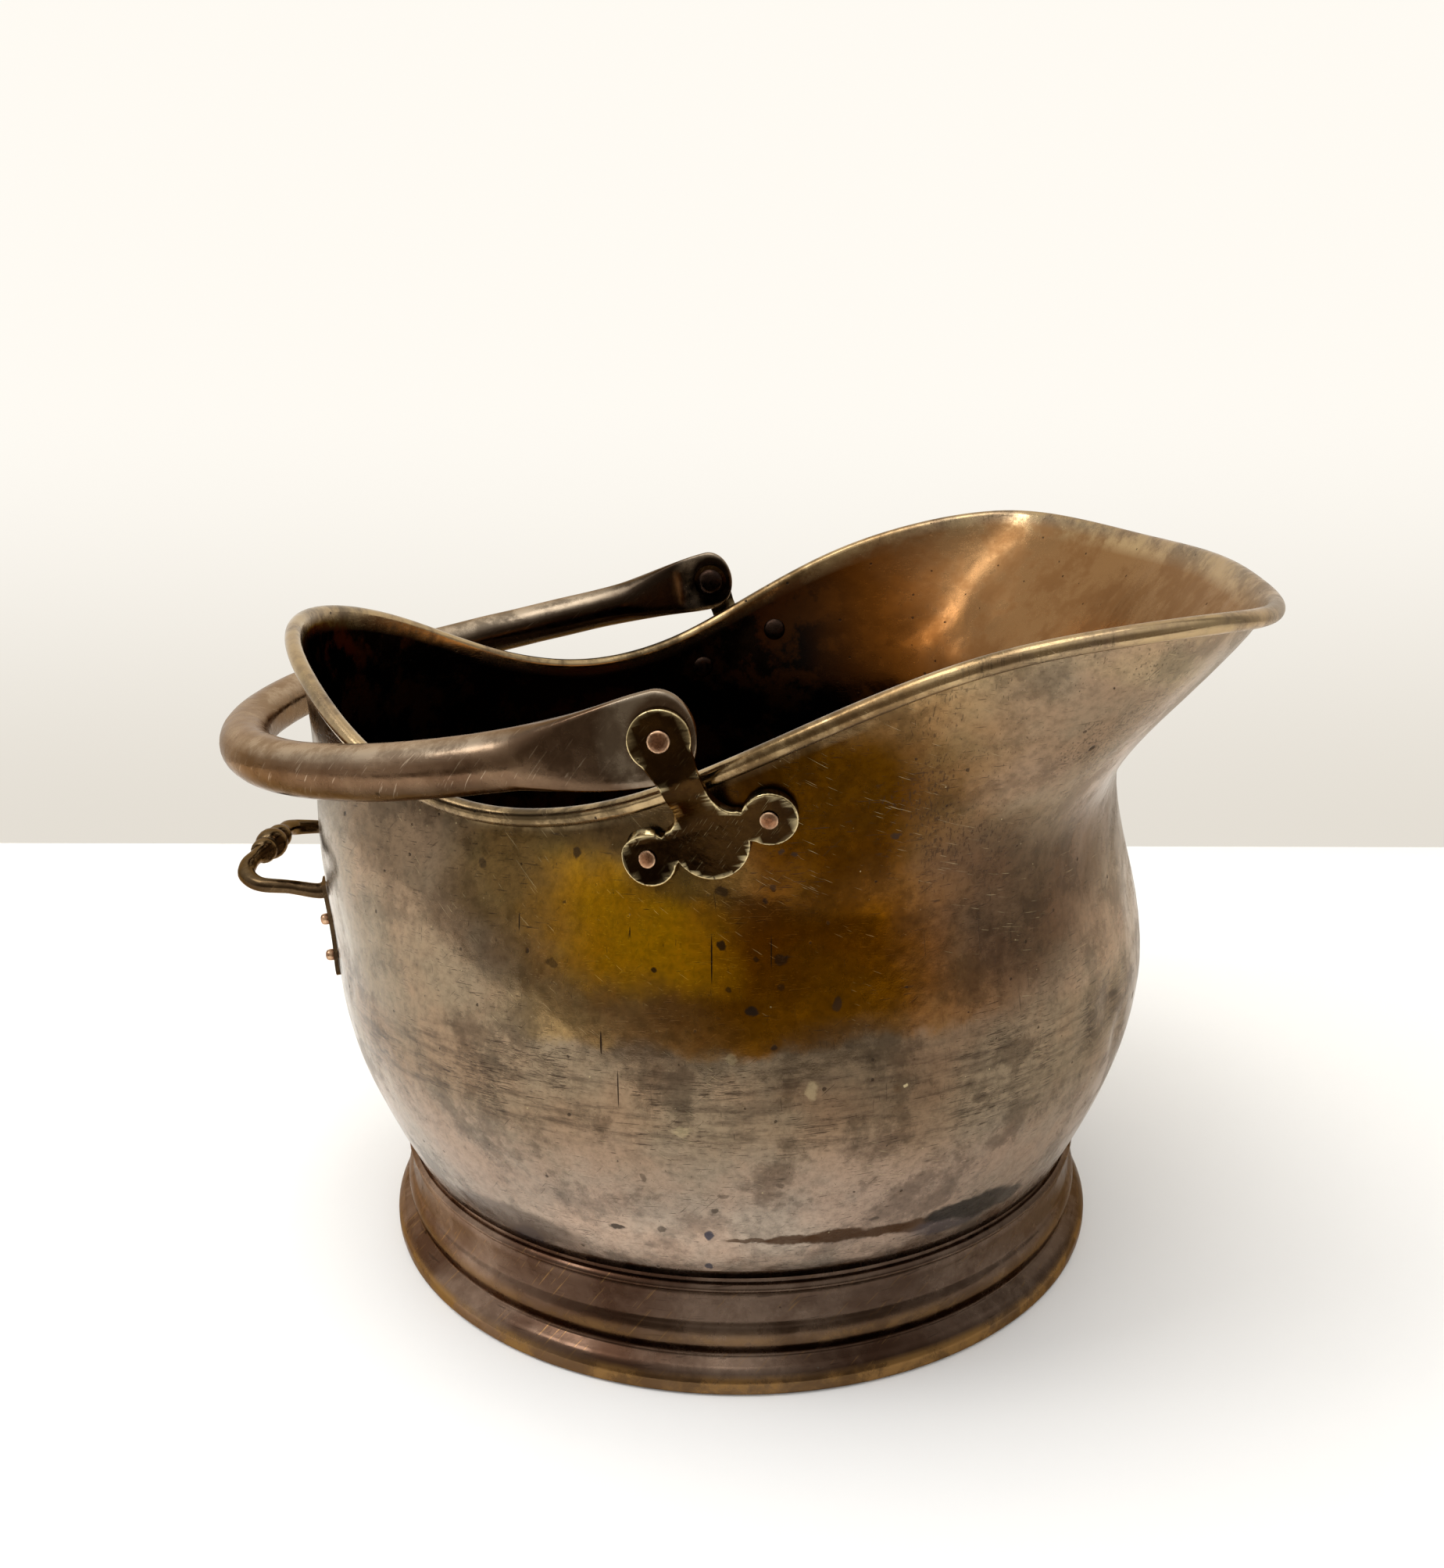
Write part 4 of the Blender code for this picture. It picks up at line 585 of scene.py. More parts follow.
lugLook = {
    "dark": (0.020, 0.0090, 0.003), "mid": (0.032, 0.0150, 0.005), "light": (0.060, 0.0290, 0.008),
    "rubbedAndSheen": (0.82, 0.66, 0.36), "pitAndShade": (0.010, 0.007, 0.005),
    "patchScale": 60.0, "grainScale": 900.0, "scratchScale": 200.0, "pitScale": 420.0, "pitShare": 0.30,
    "hammerScale": 260.0, "hammerDepth": 0.0002, "roughness": (0.13, 0.24), "wearLeft": 0.7,
    "lean": ("Z", 0.17, 0.21, 0.58, 1.1), "scored": 0.16,
}
rivetLook = {
    "dark": (0.070, 0.026, 0.013), "mid": (0.21, 0.085, 0.038), "light": (0.42, 0.205, 0.105),
    "rubbedAndSheen": (0.78, 0.52, 0.33), "pitAndShade": (0.018, 0.012, 0.010),
    "patchScale": 160.0, "grainScale": 1500.0, "scratchScale": 500.0, "pitScale": 600.0, "pitShare": 0.30,
    "hammerScale": 500.0, "hammerDepth": 0.0003, "roughness": (0.25, 0.42), "wearLeft": 0.5,
    "lean": ("Y", 0.0, 0.05, 1.0, 0.7), "scored": 0.3,
}
coalCopper = makeBodyCopper()
footCopper = makeMetal("footCopper", footLook)
bailBrass = makeMetal("bailBrass", bailLook)
handleBrass = makeMetal("handleBrass", handleLook)
lugBrass = makeMetal("lugBrass", lugLook)
rivetCopper = makeMetal("rivetCopper", rivetLook)
print("metals ready")


# shape of the wall
wall = {
    "bottomRadius": 0.1175, "bottomFlare": radians(25), "bottomHeight": 0.0355,
    "bellyRadius": 0.1373, "bellyHeight": 0.1010,
    "neckRadii": (0.1250, 0.1345, 0.1408), "neckHeights": (0.1700, 0.1500, 0.1470),
    "neckLean": radians(-1.1), "neckPower": 3.4, "sidePower": 1.6,
    "rimFlares": (radians(33.4), radians(6.8), radians(5.7)),
    "waistTurn": radians(112), "waistSpread": radians(25), "waistDraw": 0.0050, "waistLean": radians(16),
    "wireRadius": 0.0013, "curlTurn": radians(280),
    "steps": 320, "bellyRows": 18, "shoulderRows": 10, "rimRows": 18, "curlRows": 16,
    "waver": 0.00028, "waverScale": 21.0,
}
# turn from the spout in degrees, reach of the bead's centre and height of its top in millimetres
edgePoints = (
    (0, 159.9, 229.5), (15, 163.2, 228.9), (30, 172.8, 228.6), (42, 178.0, 231.0), (52, 175.8, 231.9),
    (63, 159.9, 226.3), (75, 148.8, 214.9), (88, 137.6, 198.2), (100, 127.6, 184.7), (112, 123.2, 177.2),
    (124, 125.0, 175.6), (140, 132.3, 184.2), (157, 140.0, 201.5), (180, 146.7, 212.6),
)


# cubic spline, level at both ends
def splineThrough(knots, values):
    gaps = np.diff(knots)
    climbs = np.diff(values) / gaps
    system = np.eye(len(knots))
    target = np.zeros(len(knots))
    for i in range(1, len(knots) - 1):
        system[i, i - 1], system[i, i], system[i, i + 1] = gaps[i], 2 * (gaps[i - 1] + gaps[i]), gaps[i - 1]
        target[i] = 3 * (gaps[i] * climbs[i - 1] + gaps[i - 1] * climbs[i])
    slopes = np.linalg.solve(system, target)

    def valueAt(where):
        i = min(int(np.searchsorted(knots, where, side="right")) - 1, len(knots) - 2)
        span = knots[i + 1] - knots[i]
        return cubicBetween(values[i], values[i + 1], slopes[i] * span, slopes[i + 1] * span,
                            (where - knots[i]) / span)
    return valueAt


edgeTurns = np.radians([point[0] for point in edgePoints])
edgeReach = splineThrough(edgeTurns, np.array([point[1] for point in edgePoints]) / 1000)
edgeTop = splineThrough(edgeTurns, np.array([point[2] for point in edgePoints]) / 1000)
curlRadius = wall["wireRadius"] + gap + sheet / 2
beadRadius = curlRadius + sheet / 2


def folded(turn):
    return abs((turn + pi) % (2 * pi) - pi)


def wirePoint(turn):
    half = folded(turn)
    reach = edgeReach(half)
    return Vector((reach * cos(turn), reach * sin(turn), edgeTop(half) - beadRadius))


def aroundBody(values, turn, frontPower):
    front, side, back = values
    forward = cos(turn)
    if forward > 0:
        return mixValue(side, front, forward ** frontPower)
    return mixValue(side, back, (-forward) ** wall["sidePower"])


def waistShare(turn):
    return exp(-((folded(turn) - wall["waistTurn"]) / wall["waistSpread"]) ** 2)


def rimSlope(turn):
    return tan(aroundBody(wall["rimFlares"], turn, wall["sidePower"]) - wall["waistLean"] * waistShare(turn))


def rimFrame(turn):
    nudge = 0.01
    along = (wirePoint(turn + nudge) - wirePoint(turn - nudge)).normalized()
    slope = rimSlope(turn)
    outward = along.cross(Vector((slope * cos(turn), slope * sin(turn), 1))).normalized()
    return wirePoint(turn), outward, outward.cross(along).normalized()


def wallTop(turn):
    centre, outward, upward = rimFrame(turn)
    return centre - outward * curlRadius


def neckAt(turn):
    radius = aroundBody(wall["neckRadii"], turn, wall["neckPower"]) - wall["waistDraw"] * waistShare(turn)
    height = aroundBody(wall["neckHeights"], turn, wall["neckPower"])
    lean = aroundBody((0, wall["neckLean"], wall["neckLean"]), turn, wall["sidePower"])
    return radius, height, tan(lean - wall["waistLean"] * waistShare(turn))


def wallRadius(turn, height, top=None):
    neckRadius, neckHeight, neckLean = neckAt(turn)
    bellyRadius, bellyHeight = wall["bellyRadius"], wall["bellyHeight"]
    if height < bellyHeight:
        span = bellyHeight - wall["bottomHeight"]
        share = (height - wall["bottomHeight"]) / span
        return cubicBetween(wall["bottomRadius"], bellyRadius, tan(wall["bottomFlare"]) * span, 0, share)
    if height < neckHeight:
        span = neckHeight - bellyHeight
        return cubicBetween(bellyRadius, neckRadius, 0, neckLean * span, (height - bellyHeight) / span)
    top = top or wallTop(turn)
    span = top.z - neckHeight
    share = min(1, (height - neckHeight) / span)
    return cubicBetween(neckRadius, hypot(top.x, top.y), neckLean * span, rimSlope(turn) * span, share)


def bodyColumn(turn):
    top = wallTop(turn)
    neckHeight = neckAt(turn)[1]
    drift = (atan2(top.y, top.x) - turn + pi) % (2 * pi) - pi
    levels = ((wall["bottomHeight"], wall["bellyHeight"], wall["bellyRows"], 0),
              (wall["bellyHeight"], neckHeight, wall["shoulderRows"], 0),
              (neckHeight, top.z, wall["rimRows"], 1))
    column = []
    for low, high, steps, drifts in levels:
        for step in range(steps):
            share = step / steps
            height = mixValue(low, high, share)
            radius = wallRadius(turn, height, top)
            bearing = turn + drift * drifts * share * share
            column.append(Vector((radius * cos(bearing), radius * sin(bearing), height)))
    centre, outward, upward = rimFrame(turn)
    for step in range(wall["curlRows"] + 1):
        angle = wall["curlTurn"] * step / wall["curlRows"]
        column.append(centre + curlRadius * (upward * sin(angle) - outward * cos(angle)))
    return column


# hand dents: place on the wall (turn in degrees, height), how deep and how wide
dents = (
    (-34, 0.104, 0.0016, 0.011), (-29, 0.092, 0.0012, 0.008), (-40, 0.098, 0.0009, 0.009),
    (-37, 0.150, 0.0007, 0.012), (-20, 0.128, 0.0010, 0.014), (-152, 0.118, 0.0006, 0.016),
    (48, 0.196, 0.0016, 0.012), (40, 0.182, 0.0014, 0.011), (53, 0.176, 0.0012, 0.009),
    (36, 0.202, 0.0010, 0.010), (45, 0.168, 0.0012, 0.013), (60, 0.196, 0.0009, 0.011),
    (-96, 0.060, 0.0004, 0.015), (-70, 0.052, 0.0005, 0.012), (-118, 0.066, 0.0004, 0.014),
)


# how far the wall stands out or in at the point; it is calm near its edges and under lugs and straps
def waver(point):
    fadeLow = ease((point.z - wall["bottomHeight"]) / 0.012)
    turn = atan2(point.y, point.x)
    fadeTop = 1 - ease((point.z - (edgeTop(folded(turn)) - 0.016)) / 0.008)
    calm = min(ease(((point - place).length - 0.022) / 0.02) for place in lugCentres + strapCentres)
    depth = noise.noise(point * wall["waverScale"]) * wall["waver"] * 1.6
    depth += noise.noise(point * wall["waverScale"] * 2.6 + Vector((3, 7, 1))) * wall["waver"] * 0.6
    reach = hypot(point.x, point.y)
    for degrees, height, deep, wide in dents:
        bearing = radians(degrees)
        middle = Vector((cos(bearing) * reach, sin(bearing) * reach, height))
        away = (point - middle).length
        if away < wide * 2.2:
            depth -= deep * exp(-(away / wide * 1.4) ** 2)
    return depth * fadeLow * fadeTop * calm


def makeBody():
    rows = []
    for step in range(wall["steps"]):
        column = bodyColumn(2 * pi * step / wall["steps"])
        for i in range(len(column) - wall["curlRows"] - 1):
            point = column[i]
            away = Vector((point.x, point.y, 0)).normalized()
            column[i] = point + away * waver(point)
        rows.append(column)
    body = newObject("bodyShell", gridMesh("bodyShell", rows, closed=True))
    shell = body.modifiers.new("sheet", "SOLIDIFY")
    shell.thickness = sheet
    shell.offset = 0
    shell.use_even_offset = True
    body = applied(body, "bodyShell", coalCopper)

    def wearAndSheenAt(place, normal):
        top = edgeTop(folded(atan2(place.y, place.x)))
        return ease((place.z - top + 0.0075) / 0.003)

    def innerAt(place, normal):
        top = edgeTop(folded(atan2(place.y, place.x)))
        facing = -(normal.x * place.x + normal.y * place.y) / max(hypot(place.x, place.y), 0.001)
        return ease(facing * 4 + 0.5) * (1 - ease((place.z - top + 0.0055) / 0.002))

    paint(body, "wearAndSheen", wearAndSheenAt)
    paint(body, "inner", innerAt)
    ontoFoot(body)
    return body


# set-out of bail, lugs and handle; the wall is kept calm where they are riveted on
pivot = {"x": -0.0150, "height": 0.2030}
bail = {
    "halfWidth": 0.1320, "reach": 0.1485, "power": 2.14, "droop": radians(9.75), "sag": 0.0024,
    "radius": 0.0079, "paddleOffset": 0.1385, "paddleThickness": 0.0045, "paddleHeight": 0.0240,
    "overhang": 0.0092, "paddleLength": 0.0110, "taper": 0.0250, "flattening": 0.0300,
    "flatSteps": 18, "loopSteps": 60, "sides": 32,
}
lug = {
    "x": -0.0030, "height": 0.1745, "tilt": radians(22), "thickness": 0.0025, "centreRadius": 0.0103,
    "lobeRadius": 0.0073, "frontLobe": (0.0168, 0.0012), "rearLobe": (0.0173, 0.0001), "notchOffset": 0.0099,
    "upperNotch": 0.0060, "lowerNotch": -0.0029, "neckHalfWidth": 0.0052, "neckBottom": 0.0140,
    "neckTop": 0.0195, "earRadius": 0.0080, "bendBottom": 0.0040, "bendTop": 0.0200,
    "room": 0.0002, "bevel": 0.00045,
}
earInnerFace = bail["paddleOffset"] + bail["paddleThickness"] / 2 + gap
earOuterFace = earInnerFace + lug["thickness"]
# "way" is the arm from strap to knop: shares of outreach, half span and rise, and how full the corner is
handle = {
    "halfSpan": 0.0325, "turn": pi - asin(0.0325 / wall["neckRadii"][2]),
    "strapThickness": 0.0014, "strapHalfWidth": 0.0050, "strapTop": 0.1272, "strapBottom": 0.0935,
    "rootHeight": 0.1241, "stub": 0.0030, "outreach": 0.0292,
    "rise": 0.0053, "rootRadius": 0.0029, "armRadius": 0.0023, "cornerRadius": 0.0029,
    "knopBack": 0.985, "knopRadius": 0.0055, "knopHalf": 0.0048, "beadRadius": 0.0044, "beadHalf": 0.0031,
    "knopNeck": 0.0031, "rivetSpacing": 0.0131, "rivetDrop": 0.0104,
    "way": ((0.42, 1.000, 0.15, 0.0), (0.76, 0.985, 0.28, 0.3), (0.97, 0.830, 0.55, 1.0),
            (1.02, 0.640, 0.85, 1.0), (1.01, 0.460, 0.97, 0.4)),
}
lugCentres = [Vector((lug["x"], side * 0.134, lug["height"])) for side in sides.values()]
strapCentres = [Vector((0.139 * cos(handle["turn"]), side * 0.139 * sin(handle["turn"]), height))
                for side in sides.values() for height in (0.098, 0.112, 0.124)]

bodyShell = makeBody()
print("body:", len(bodyShell.data.polygons), "faces")


def makeWire():
    rows = []
    for step in range(wall["steps"]):
        centre, outward, upward = rimFrame(2 * pi * step / wall["steps"])
        rows.append([centre + wall["wireRadius"] * (outward * cos(pi * i / 6) + upward * sin(pi * i / 6))
                     for i in range(12)])
    wire = newObject("edgeWire", gridMesh("edgeWire", rows, closed=True, ring=True), coalCopper)
    ontoFoot(wire)
    return wire


edgeWire = makeWire()

foot = {
    "radius": 0.1250, "height": 0.0352, "flange": 0.1040, "neck": 0.1178, "neckDepth": 0.0015,
    "roll": 0.0032, "rollSwell": 0.0014, "cove": 0.0100, "coveDepth": 0.0005, "coveRadius": 0.1190,
    "torus": 0.0094, "torusSwell": 0.0015, "groove": 0.1192, "grooveWidth": 0.0014,
    "flareRadius": 0.62, "flareDrop": 0.48, "hemHeight": 0.0054, "hemWidth": 0.0040, "hemRound": 0.0012,
    "steps": 288,
}


def swollen(top, bottom, base, swell, steps):
    return [(base + swell * sin(pi * step / steps), mixValue(top, bottom, step / steps))
            for step in range(steps + 1)]


# down the outside from the flange, round the hem and up the inside
def footProfile():
    radius, height, groove, neck = foot["radius"], foot["height"], foot["groove"], foot["neck"]
    hem, hemRound, hemInner = foot["hemHeight"], foot["hemRound"], radius - foot["hemWidth"]
    neckBottom = height - foot["neckDepth"]
    rollBottom = neckBottom - foot["roll"]
    coveBottom = rollBottom - foot["cove"]
    torusBottom = coveBottom - foot["torus"]
    grooveBottom = torusBottom - foot["grooveWidth"]
    profile = [(foot["flange"], height), (neck, height), (neck, neckBottom)]
    profile += swollen(neckBottom, rollBottom, neck + sheet / 2, foot["rollSwell"], 10)
    profile += swollen(rollBottom, coveBottom, foot["coveRadius"], -foot["coveDepth"], 8)[1:]
    profile += swollen(coveBottom, torusBottom, groove, foot["torusSwell"], 14)[1:]
    flare = mixValue(groove, radius, foot["flareRadius"])
    corners = [(groove, torusBottom), (groove, grooveBottom),
               (flare, mixValue(grooveBottom, hem, foot["flareDrop"])), (radius - hemRound / 2, hem),
               (radius, hem - hemRound), (radius, hemRound), (radius - hemRound, 0),
               (hemInner + hemRound / 2, 0), (hemInner, hemRound), (hemInner, hem - hemRound)]
    profile += roundProfile(corners, hemRound, 4)[1:]
    profile.append((groove - sheet, grooveBottom))
    profile += swollen(torusBottom, coveBottom, groove - sheet, foot["torusSwell"], 8)
    profile.append((foot["coveRadius"] - foot["coveDepth"] - sheet, rollBottom))
    profile += [(neck - sheet, height - sheet), (foot["flange"], height - sheet)]
    return profile


def makeFoot():
    ring = applied(lathe("footRing", footProfile(), foot["steps"], closed=True), "footRing", footCopper)
    for vertex in ring.data.vertices:  # slight unevenness of a hand-spun foot
        place = vertex.co.copy()
        if place.z > 0.001:
            away = Vector((place.x, place.y, 0)).normalized()
            vertex.co = place + away * (noise.noise(place * 24) * 0.00022 - 0.0001)
    smoothTo(ring.data, 50)

    def wearAndSheenAt(place, normal):
        hem = (1 - ease((place.z - 0.0045) / 0.003)) * ease((hypot(place.x, place.y) - 0.1235) / 0.0008)
        crest = exp(-((place.z - 0.0155) / 0.0022) ** 2) * ease((hypot(place.x, place.y) - 0.1196) / 0.0008)
        return max(hem, crest * 0.45)

    def hollowAt(place, normal):
        groove = exp(-((place.z - 0.0093) / 0.0022) ** 2)
        lip = exp(-((place.z - 0.0345) / 0.0018) ** 2)
        return max(groove, lip * 0.6, 0.25 * (1 - ease((place.z - 0.009) / 0.004)))

    paint(ring, "wearAndSheen", wearAndSheenAt)
    paint(ring, "hollow", hollowAt)
    ontoFoot(ring)
    return ring


def makeBottom():
    low = wall["bottomHeight"]
    floorHeight, lip = low + sheet, low + 0.0070

    def insideWall(height):
        return wallRadius(pi / 2, height) - sheet / 2 - gap

    profile = [(0, floorHeight), (insideWall(floorHeight) - sheet, floorHeight), (insideWall(lip) - sheet, lip),
               (insideWall(lip), lip), (insideWall(low), low), (0, low)]
    plate = applied(lathe("bottomPlate", roundProfile(profile, 0.0015, 3), 160), "bottomPlate", coalCopper)
    paint(plate, "inner", lambda place, normal: 1.0)
    ontoFoot(plate)
    return plate


footRing = makeFoot()
bottomPlate = makeBottom()
print("foot and bottom ready")


# half thickness, half height and squareness of the bail's section at a distance from the pivot
def bailSection(reach):
    share = ease((reach - bail["paddleLength"]) / bail["flattening"])
    halfThickness = mixValue(bail["paddleThickness"] / 2, bail["radius"], share)
    halfHeight = mixValue(bail["radius"], bail["paddleHeight"] / 2, exp(-(reach / bail["taper"]) ** 2))
    return halfThickness, halfHeight, mixValue(5.5, 2.0, share)


def bailRing(centre, sideways, halfThickness, halfHeight, power):
    upward = Vector((-sin(bail["droop"]), 0, cos(bail["droop"])))
    ring = []
    for i in range(bail["sides"]):
        angle = 2 * pi * i / bail["sides"]
        across = abs(cos(angle)) ** (2 / power) * (1 if cos(angle) > 0 else -1)
        rise = abs(sin(angle)) ** (2 / power) * (1 if sin(angle) > 0 else -1)
        ring.append(centre + sideways * across * halfThickness + upward * rise * halfHeight)
    return ring


def bailCentre(angle):
    share = cos(angle) ** (2 / bail["power"])
    reach = bail["reach"] * share
    spread = 1 - ease((reach - bail["paddleLength"]) / bail["flattening"])
    width = bail["halfWidth"] * abs(sin(angle)) ** (2 / bail["power"])
    width += (bail["paddleOffset"] - bail["halfWidth"]) * spread
    drop = reach * sin(bail["droop"]) + 4 * bail["sag"] * share * (1 - share)
    return Vector((-reach * cos(bail["droop"]), (1 if angle > 0 else -1) * width, -drop))


def makeBail():
    half = []
    flatStart = bail["paddleLength"] * 0.3
    flatLength = bail["paddleLength"] * 0.7 + bail["flattening"]
    for step in range(bail["flatSteps"] + 1):
        reach = flatStart + flatLength * step / bail["flatSteps"]
        half.append(acos((reach / bail["reach"]) ** (bail["power"] / 2)))
    bend = half[-1]
    half += [bend * (1 - step / bail["loopSteps"]) for step in range(1, bail["loopSteps"])]
    angles = half + [0] + [-angle for angle in reversed(half)]
    upward = Vector((-sin(bail["droop"]), 0, cos(bail["droop"])))
    forward = Vector((cos(bail["droop"]), 0, sin(bail["droop"])))
    rings = []
    for angle in angles:
        centre = bailCentre(angle)
        along = bailCentre(angle - 0.008) - bailCentre(angle + 0.008)
        section = bailSection(-centre.x / cos(bail["droop"]))
        rings.append(bailRing(centre, along.cross(upward).normalized(), *section))

    def paddleEnd(side):
        thickness, height, power = bailSection(0)
        ends = []
        for step in range(13):
            angle = radians(84) * step / 12
            centre = Vector((0, side * bail["paddleOffset"], 0)) + forward * bail["overhang"] * sin(angle)
            ends.append(bailRing(centre, Vector((0, side, 0)), thickness * (1 - 0.25 * (step / 12) ** 6),
                                 height * cos(angle), power))
        return ends

    rings = paddleEnd(1)[::-1] + rings + paddleEnd(-1)
    tube = newObject("bailTube", gridMesh("bailTube", rows=rings, ring=True, caps=True), bailBrass)
    for vertex in tube.data.vertices:  # unevenness of the bent tube, none where its ends lie in the lugs
        place = vertex.co.copy()
        bent = ease((abs(place.x) - 0.018) / 0.03)
        vertex.co = place + vertex.normal * (noise.noise(place * 55) * 0.00014 * bent)
    smoothTo(tube.data, 42)

    def wearAndSheenAt(place, normal):
        reach = hypot(place.x, place.z)
        rim = ease((hypot(place.x * 1.2, place.z) - 0.0098) / 0.0014) * (1 - ease((reach - 0.013) / 0.004))
        # painted highlight: the upward-facing top of the tube is lightened in the rubbed tone
        litTop = ease((normal.z - 0.35) / 0.5) * 0.85 * ease((reach - 0.015) / 0.05)
        return max(rim, litTop, 0.45 * ease((reach - 0.120) / 0.03))

    def innerAt(place, normal):
        # painted shade: the tube's underside and its ends between the lugs are darkened
        shadedUnderside = 0.75 * ease((-normal.z - 0.05) / 0.6) * ease((-place.x - 0.02) / 0.04)
        return max(shadedUnderside, 0.6 * (1 - ease((-place.x - 0.01) / 0.05)))

    paint(tube, "wearAndSheen", wearAndSheenAt)
    paint(tube, "inner", innerAt)
    tube.data.transform(Matrix.Translation((pivot["x"] + footAxisX, 0, pivot["height"])))
    return tube


bailTube = makeBail()
print("bail ready")


# place on the wall's side view of a point in the lug's own plane
def lugPoint(along, up):
    x = lug["x"] + along * cos(lug["tilt"]) - up * sin(lug["tilt"])
    return x, lug["height"] + along * sin(lug["tilt"]) + up * cos(lug["tilt"])


def pivotInLug():
    x, height = pivot["x"] - lug["x"], pivot["height"] - lug["height"]
    return x * cos(lug["tilt"]) + height * sin(lug["tilt"]), height * cos(lug["tilt"]) - x * sin(lug["tilt"])


def arcPoints(centre, radius, start, end, steps):
    return [(centre[0] + radius * cos(mixValue(start, end, i / steps)),
             centre[1] + radius * sin(mixValue(start, end, i / steps))) for i in range(steps + 1)]


def lugHalf(lobe):
    lower = atan2(lug["lowerNotch"] - lobe[1], lug["notchOffset"] - lobe[0])
    upper = atan2(lug["upperNotch"] - lobe[1], lug["notchOffset"] - lobe[0])
    bottom = atan2(lug["lowerNotch"], lug["notchOffset"])
    half = arcPoints((0, 0), lug["centreRadius"], -pi / 2, bottom, 12)
    half += arcPoints(lobe, lug["lobeRadius"], lower, upper, 32)[1:]
    half.append((lug["notchOffset"], lug["upperNotch"]))
    for i in range(1, 11):
        sweep = pi / 2 * i / 10
        half.append((mixValue(lug["notchOffset"], lug["neckHalfWidth"], sin(sweep)),
                     mixValue(lug["neckBottom"], lug["upperNotch"], cos(sweep))))
    half.append((lug["neckHalfWidth"], lug["neckTop"]))
    return half


def lugOutline():
    ear = pivotInLug()
    right = arcPoints(ear, lug["earRadius"], radians(-35), pi / 2, 20)
    left = arcPoints(ear, lug["earRadius"], pi / 2, pi + radians(35), 20)[1:]
    rear = [(-along, up) for along, up in lugHalf(lug["rearLobe"])[1:]]
    return lugHalf(lug["frontLobe"]) + right + left + rear[::-1]


def sideReach(x, height):
    reach = 0.1345
    for attempt in range(6):
        radius = wallRadius(atan2(reach, x), height)
        reach = sqrt(radius * radius - x * x)
    return reach


def slopesOf(reachAt, x, height):
    step = 0.001
    return ((reachAt(x + step, height) - reachAt(x - step, height)) / (2 * step),
            (reachAt(x, height + step) - reachAt(x, height - step)) / (2 * step))


def lugReach(x, height):
    up = (height - lug["height"]) * cos(lug["tilt"]) - (x - lug["x"]) * sin(lug["tilt"])
    slopeX, slopeZ = slopesOf(sideReach, x, height)
    lift = sheet / 2 + gap + lug["room"] + lug["thickness"] / 2
    onWall = sideReach(x, height) + lift * sqrt(1 + slopeX ** 2 + slopeZ ** 2)
    share = ease((up - lug["bendBottom"]) / (lug["bendTop"] - lug["bendBottom"]))
    return mixValue(onWall, earInnerFace + lug["thickness"] / 2, share)


def lugFrame(along, up, side):
    x, height = lugPoint(along, up)
    slopeX, slopeZ = slopesOf(lugReach, x, height)
    direction = Vector((-slopeX, side, -slopeZ)).normalized()
    return Vector((x, side * lugReach(x, height), height)), direction


def makeLug(name, side):
    outline = lugOutline()
    work = bmesh.new()
    ring = [work.verts.new((along, up, lug["thickness"] / 2)) for along, up in outline]
    face = work.faces.new(ring)
    made = bmesh.ops.extrude_face_region(work, geom=[face])
    low = [item for item in made["geom"] if isinstance(item, bmesh.types.BMVert)]
    bmesh.ops.translate(work, verts=low, vec=(0, 0, -lug["thickness"]))
    bmesh.ops.recalc_face_normals(work, faces=work.faces)
    rims = [edge for edge in work.edges if abs(edge.verts[0].co.z - edge.verts[1].co.z) < 1e-6
            and edge.verts[0].co.z > 0]
    bmesh.ops.bevel(work, geom=rims, offset=lug["bevel"], segments=3, affect="EDGES", profile=0.5)
    # cut across at short steps so that the plate can bend
    for across, level, end, step in ((Vector((0, 1, 0)), -0.012, 0.040, 0.0011),
                                     (Vector((1, 0, 0)), -0.026, 0.026, 0.0026)):
        while level < end:
            geometry = [*work.verts, *work.edges, *work.faces]
            bmesh.ops.bisect_plane(work, geom=geometry, plane_co=across * level, plane_no=across)
            level += step
    flat = meshFrom(name, work)
    wearField = []
    outlineArray = np.array(outline)
    for vertex in flat.vertices:
        along, up, depth = vertex.co
        away = np.min(np.hypot(outlineArray[:, 0] - along, outlineArray[:, 1] - up))
        wearField.append(float(1 - ease((away - 0.0002) / 0.0005)) if depth > 0 else 0.2)
        middle, direction = lugFrame(along, up, side)
        vertex.co = middle + direction * depth
    if side < 0:
        flat.flip_normals()
    smoothTo(flat, 38)
    setField(flat, "wearAndSheen", wearField)
    plate = newObject(name, flat, lugBrass)
    ontoFoot(plate)
    return plate


lugPlates = {name: makeLug("lug" + name.capitalize(), side) for name, side in sides.items()}
print("lugs ready")


# outer head's radius and height, inner head's radius and height, shank's radius
rivets = {
    "lug": (0.0024, 0.0008, 0.0045, 0.0014, 0.0017),
    "strap": (0.0019, 0.0026, 0.0035, 0.0010, 0.0013),
    "pivot": (0.0029, 0.0011, 0.0052, 0.0020, 0.0025),
}
washer = {"thickness": 0.0006, "hole": 0.0028, "radius": 0.0068}


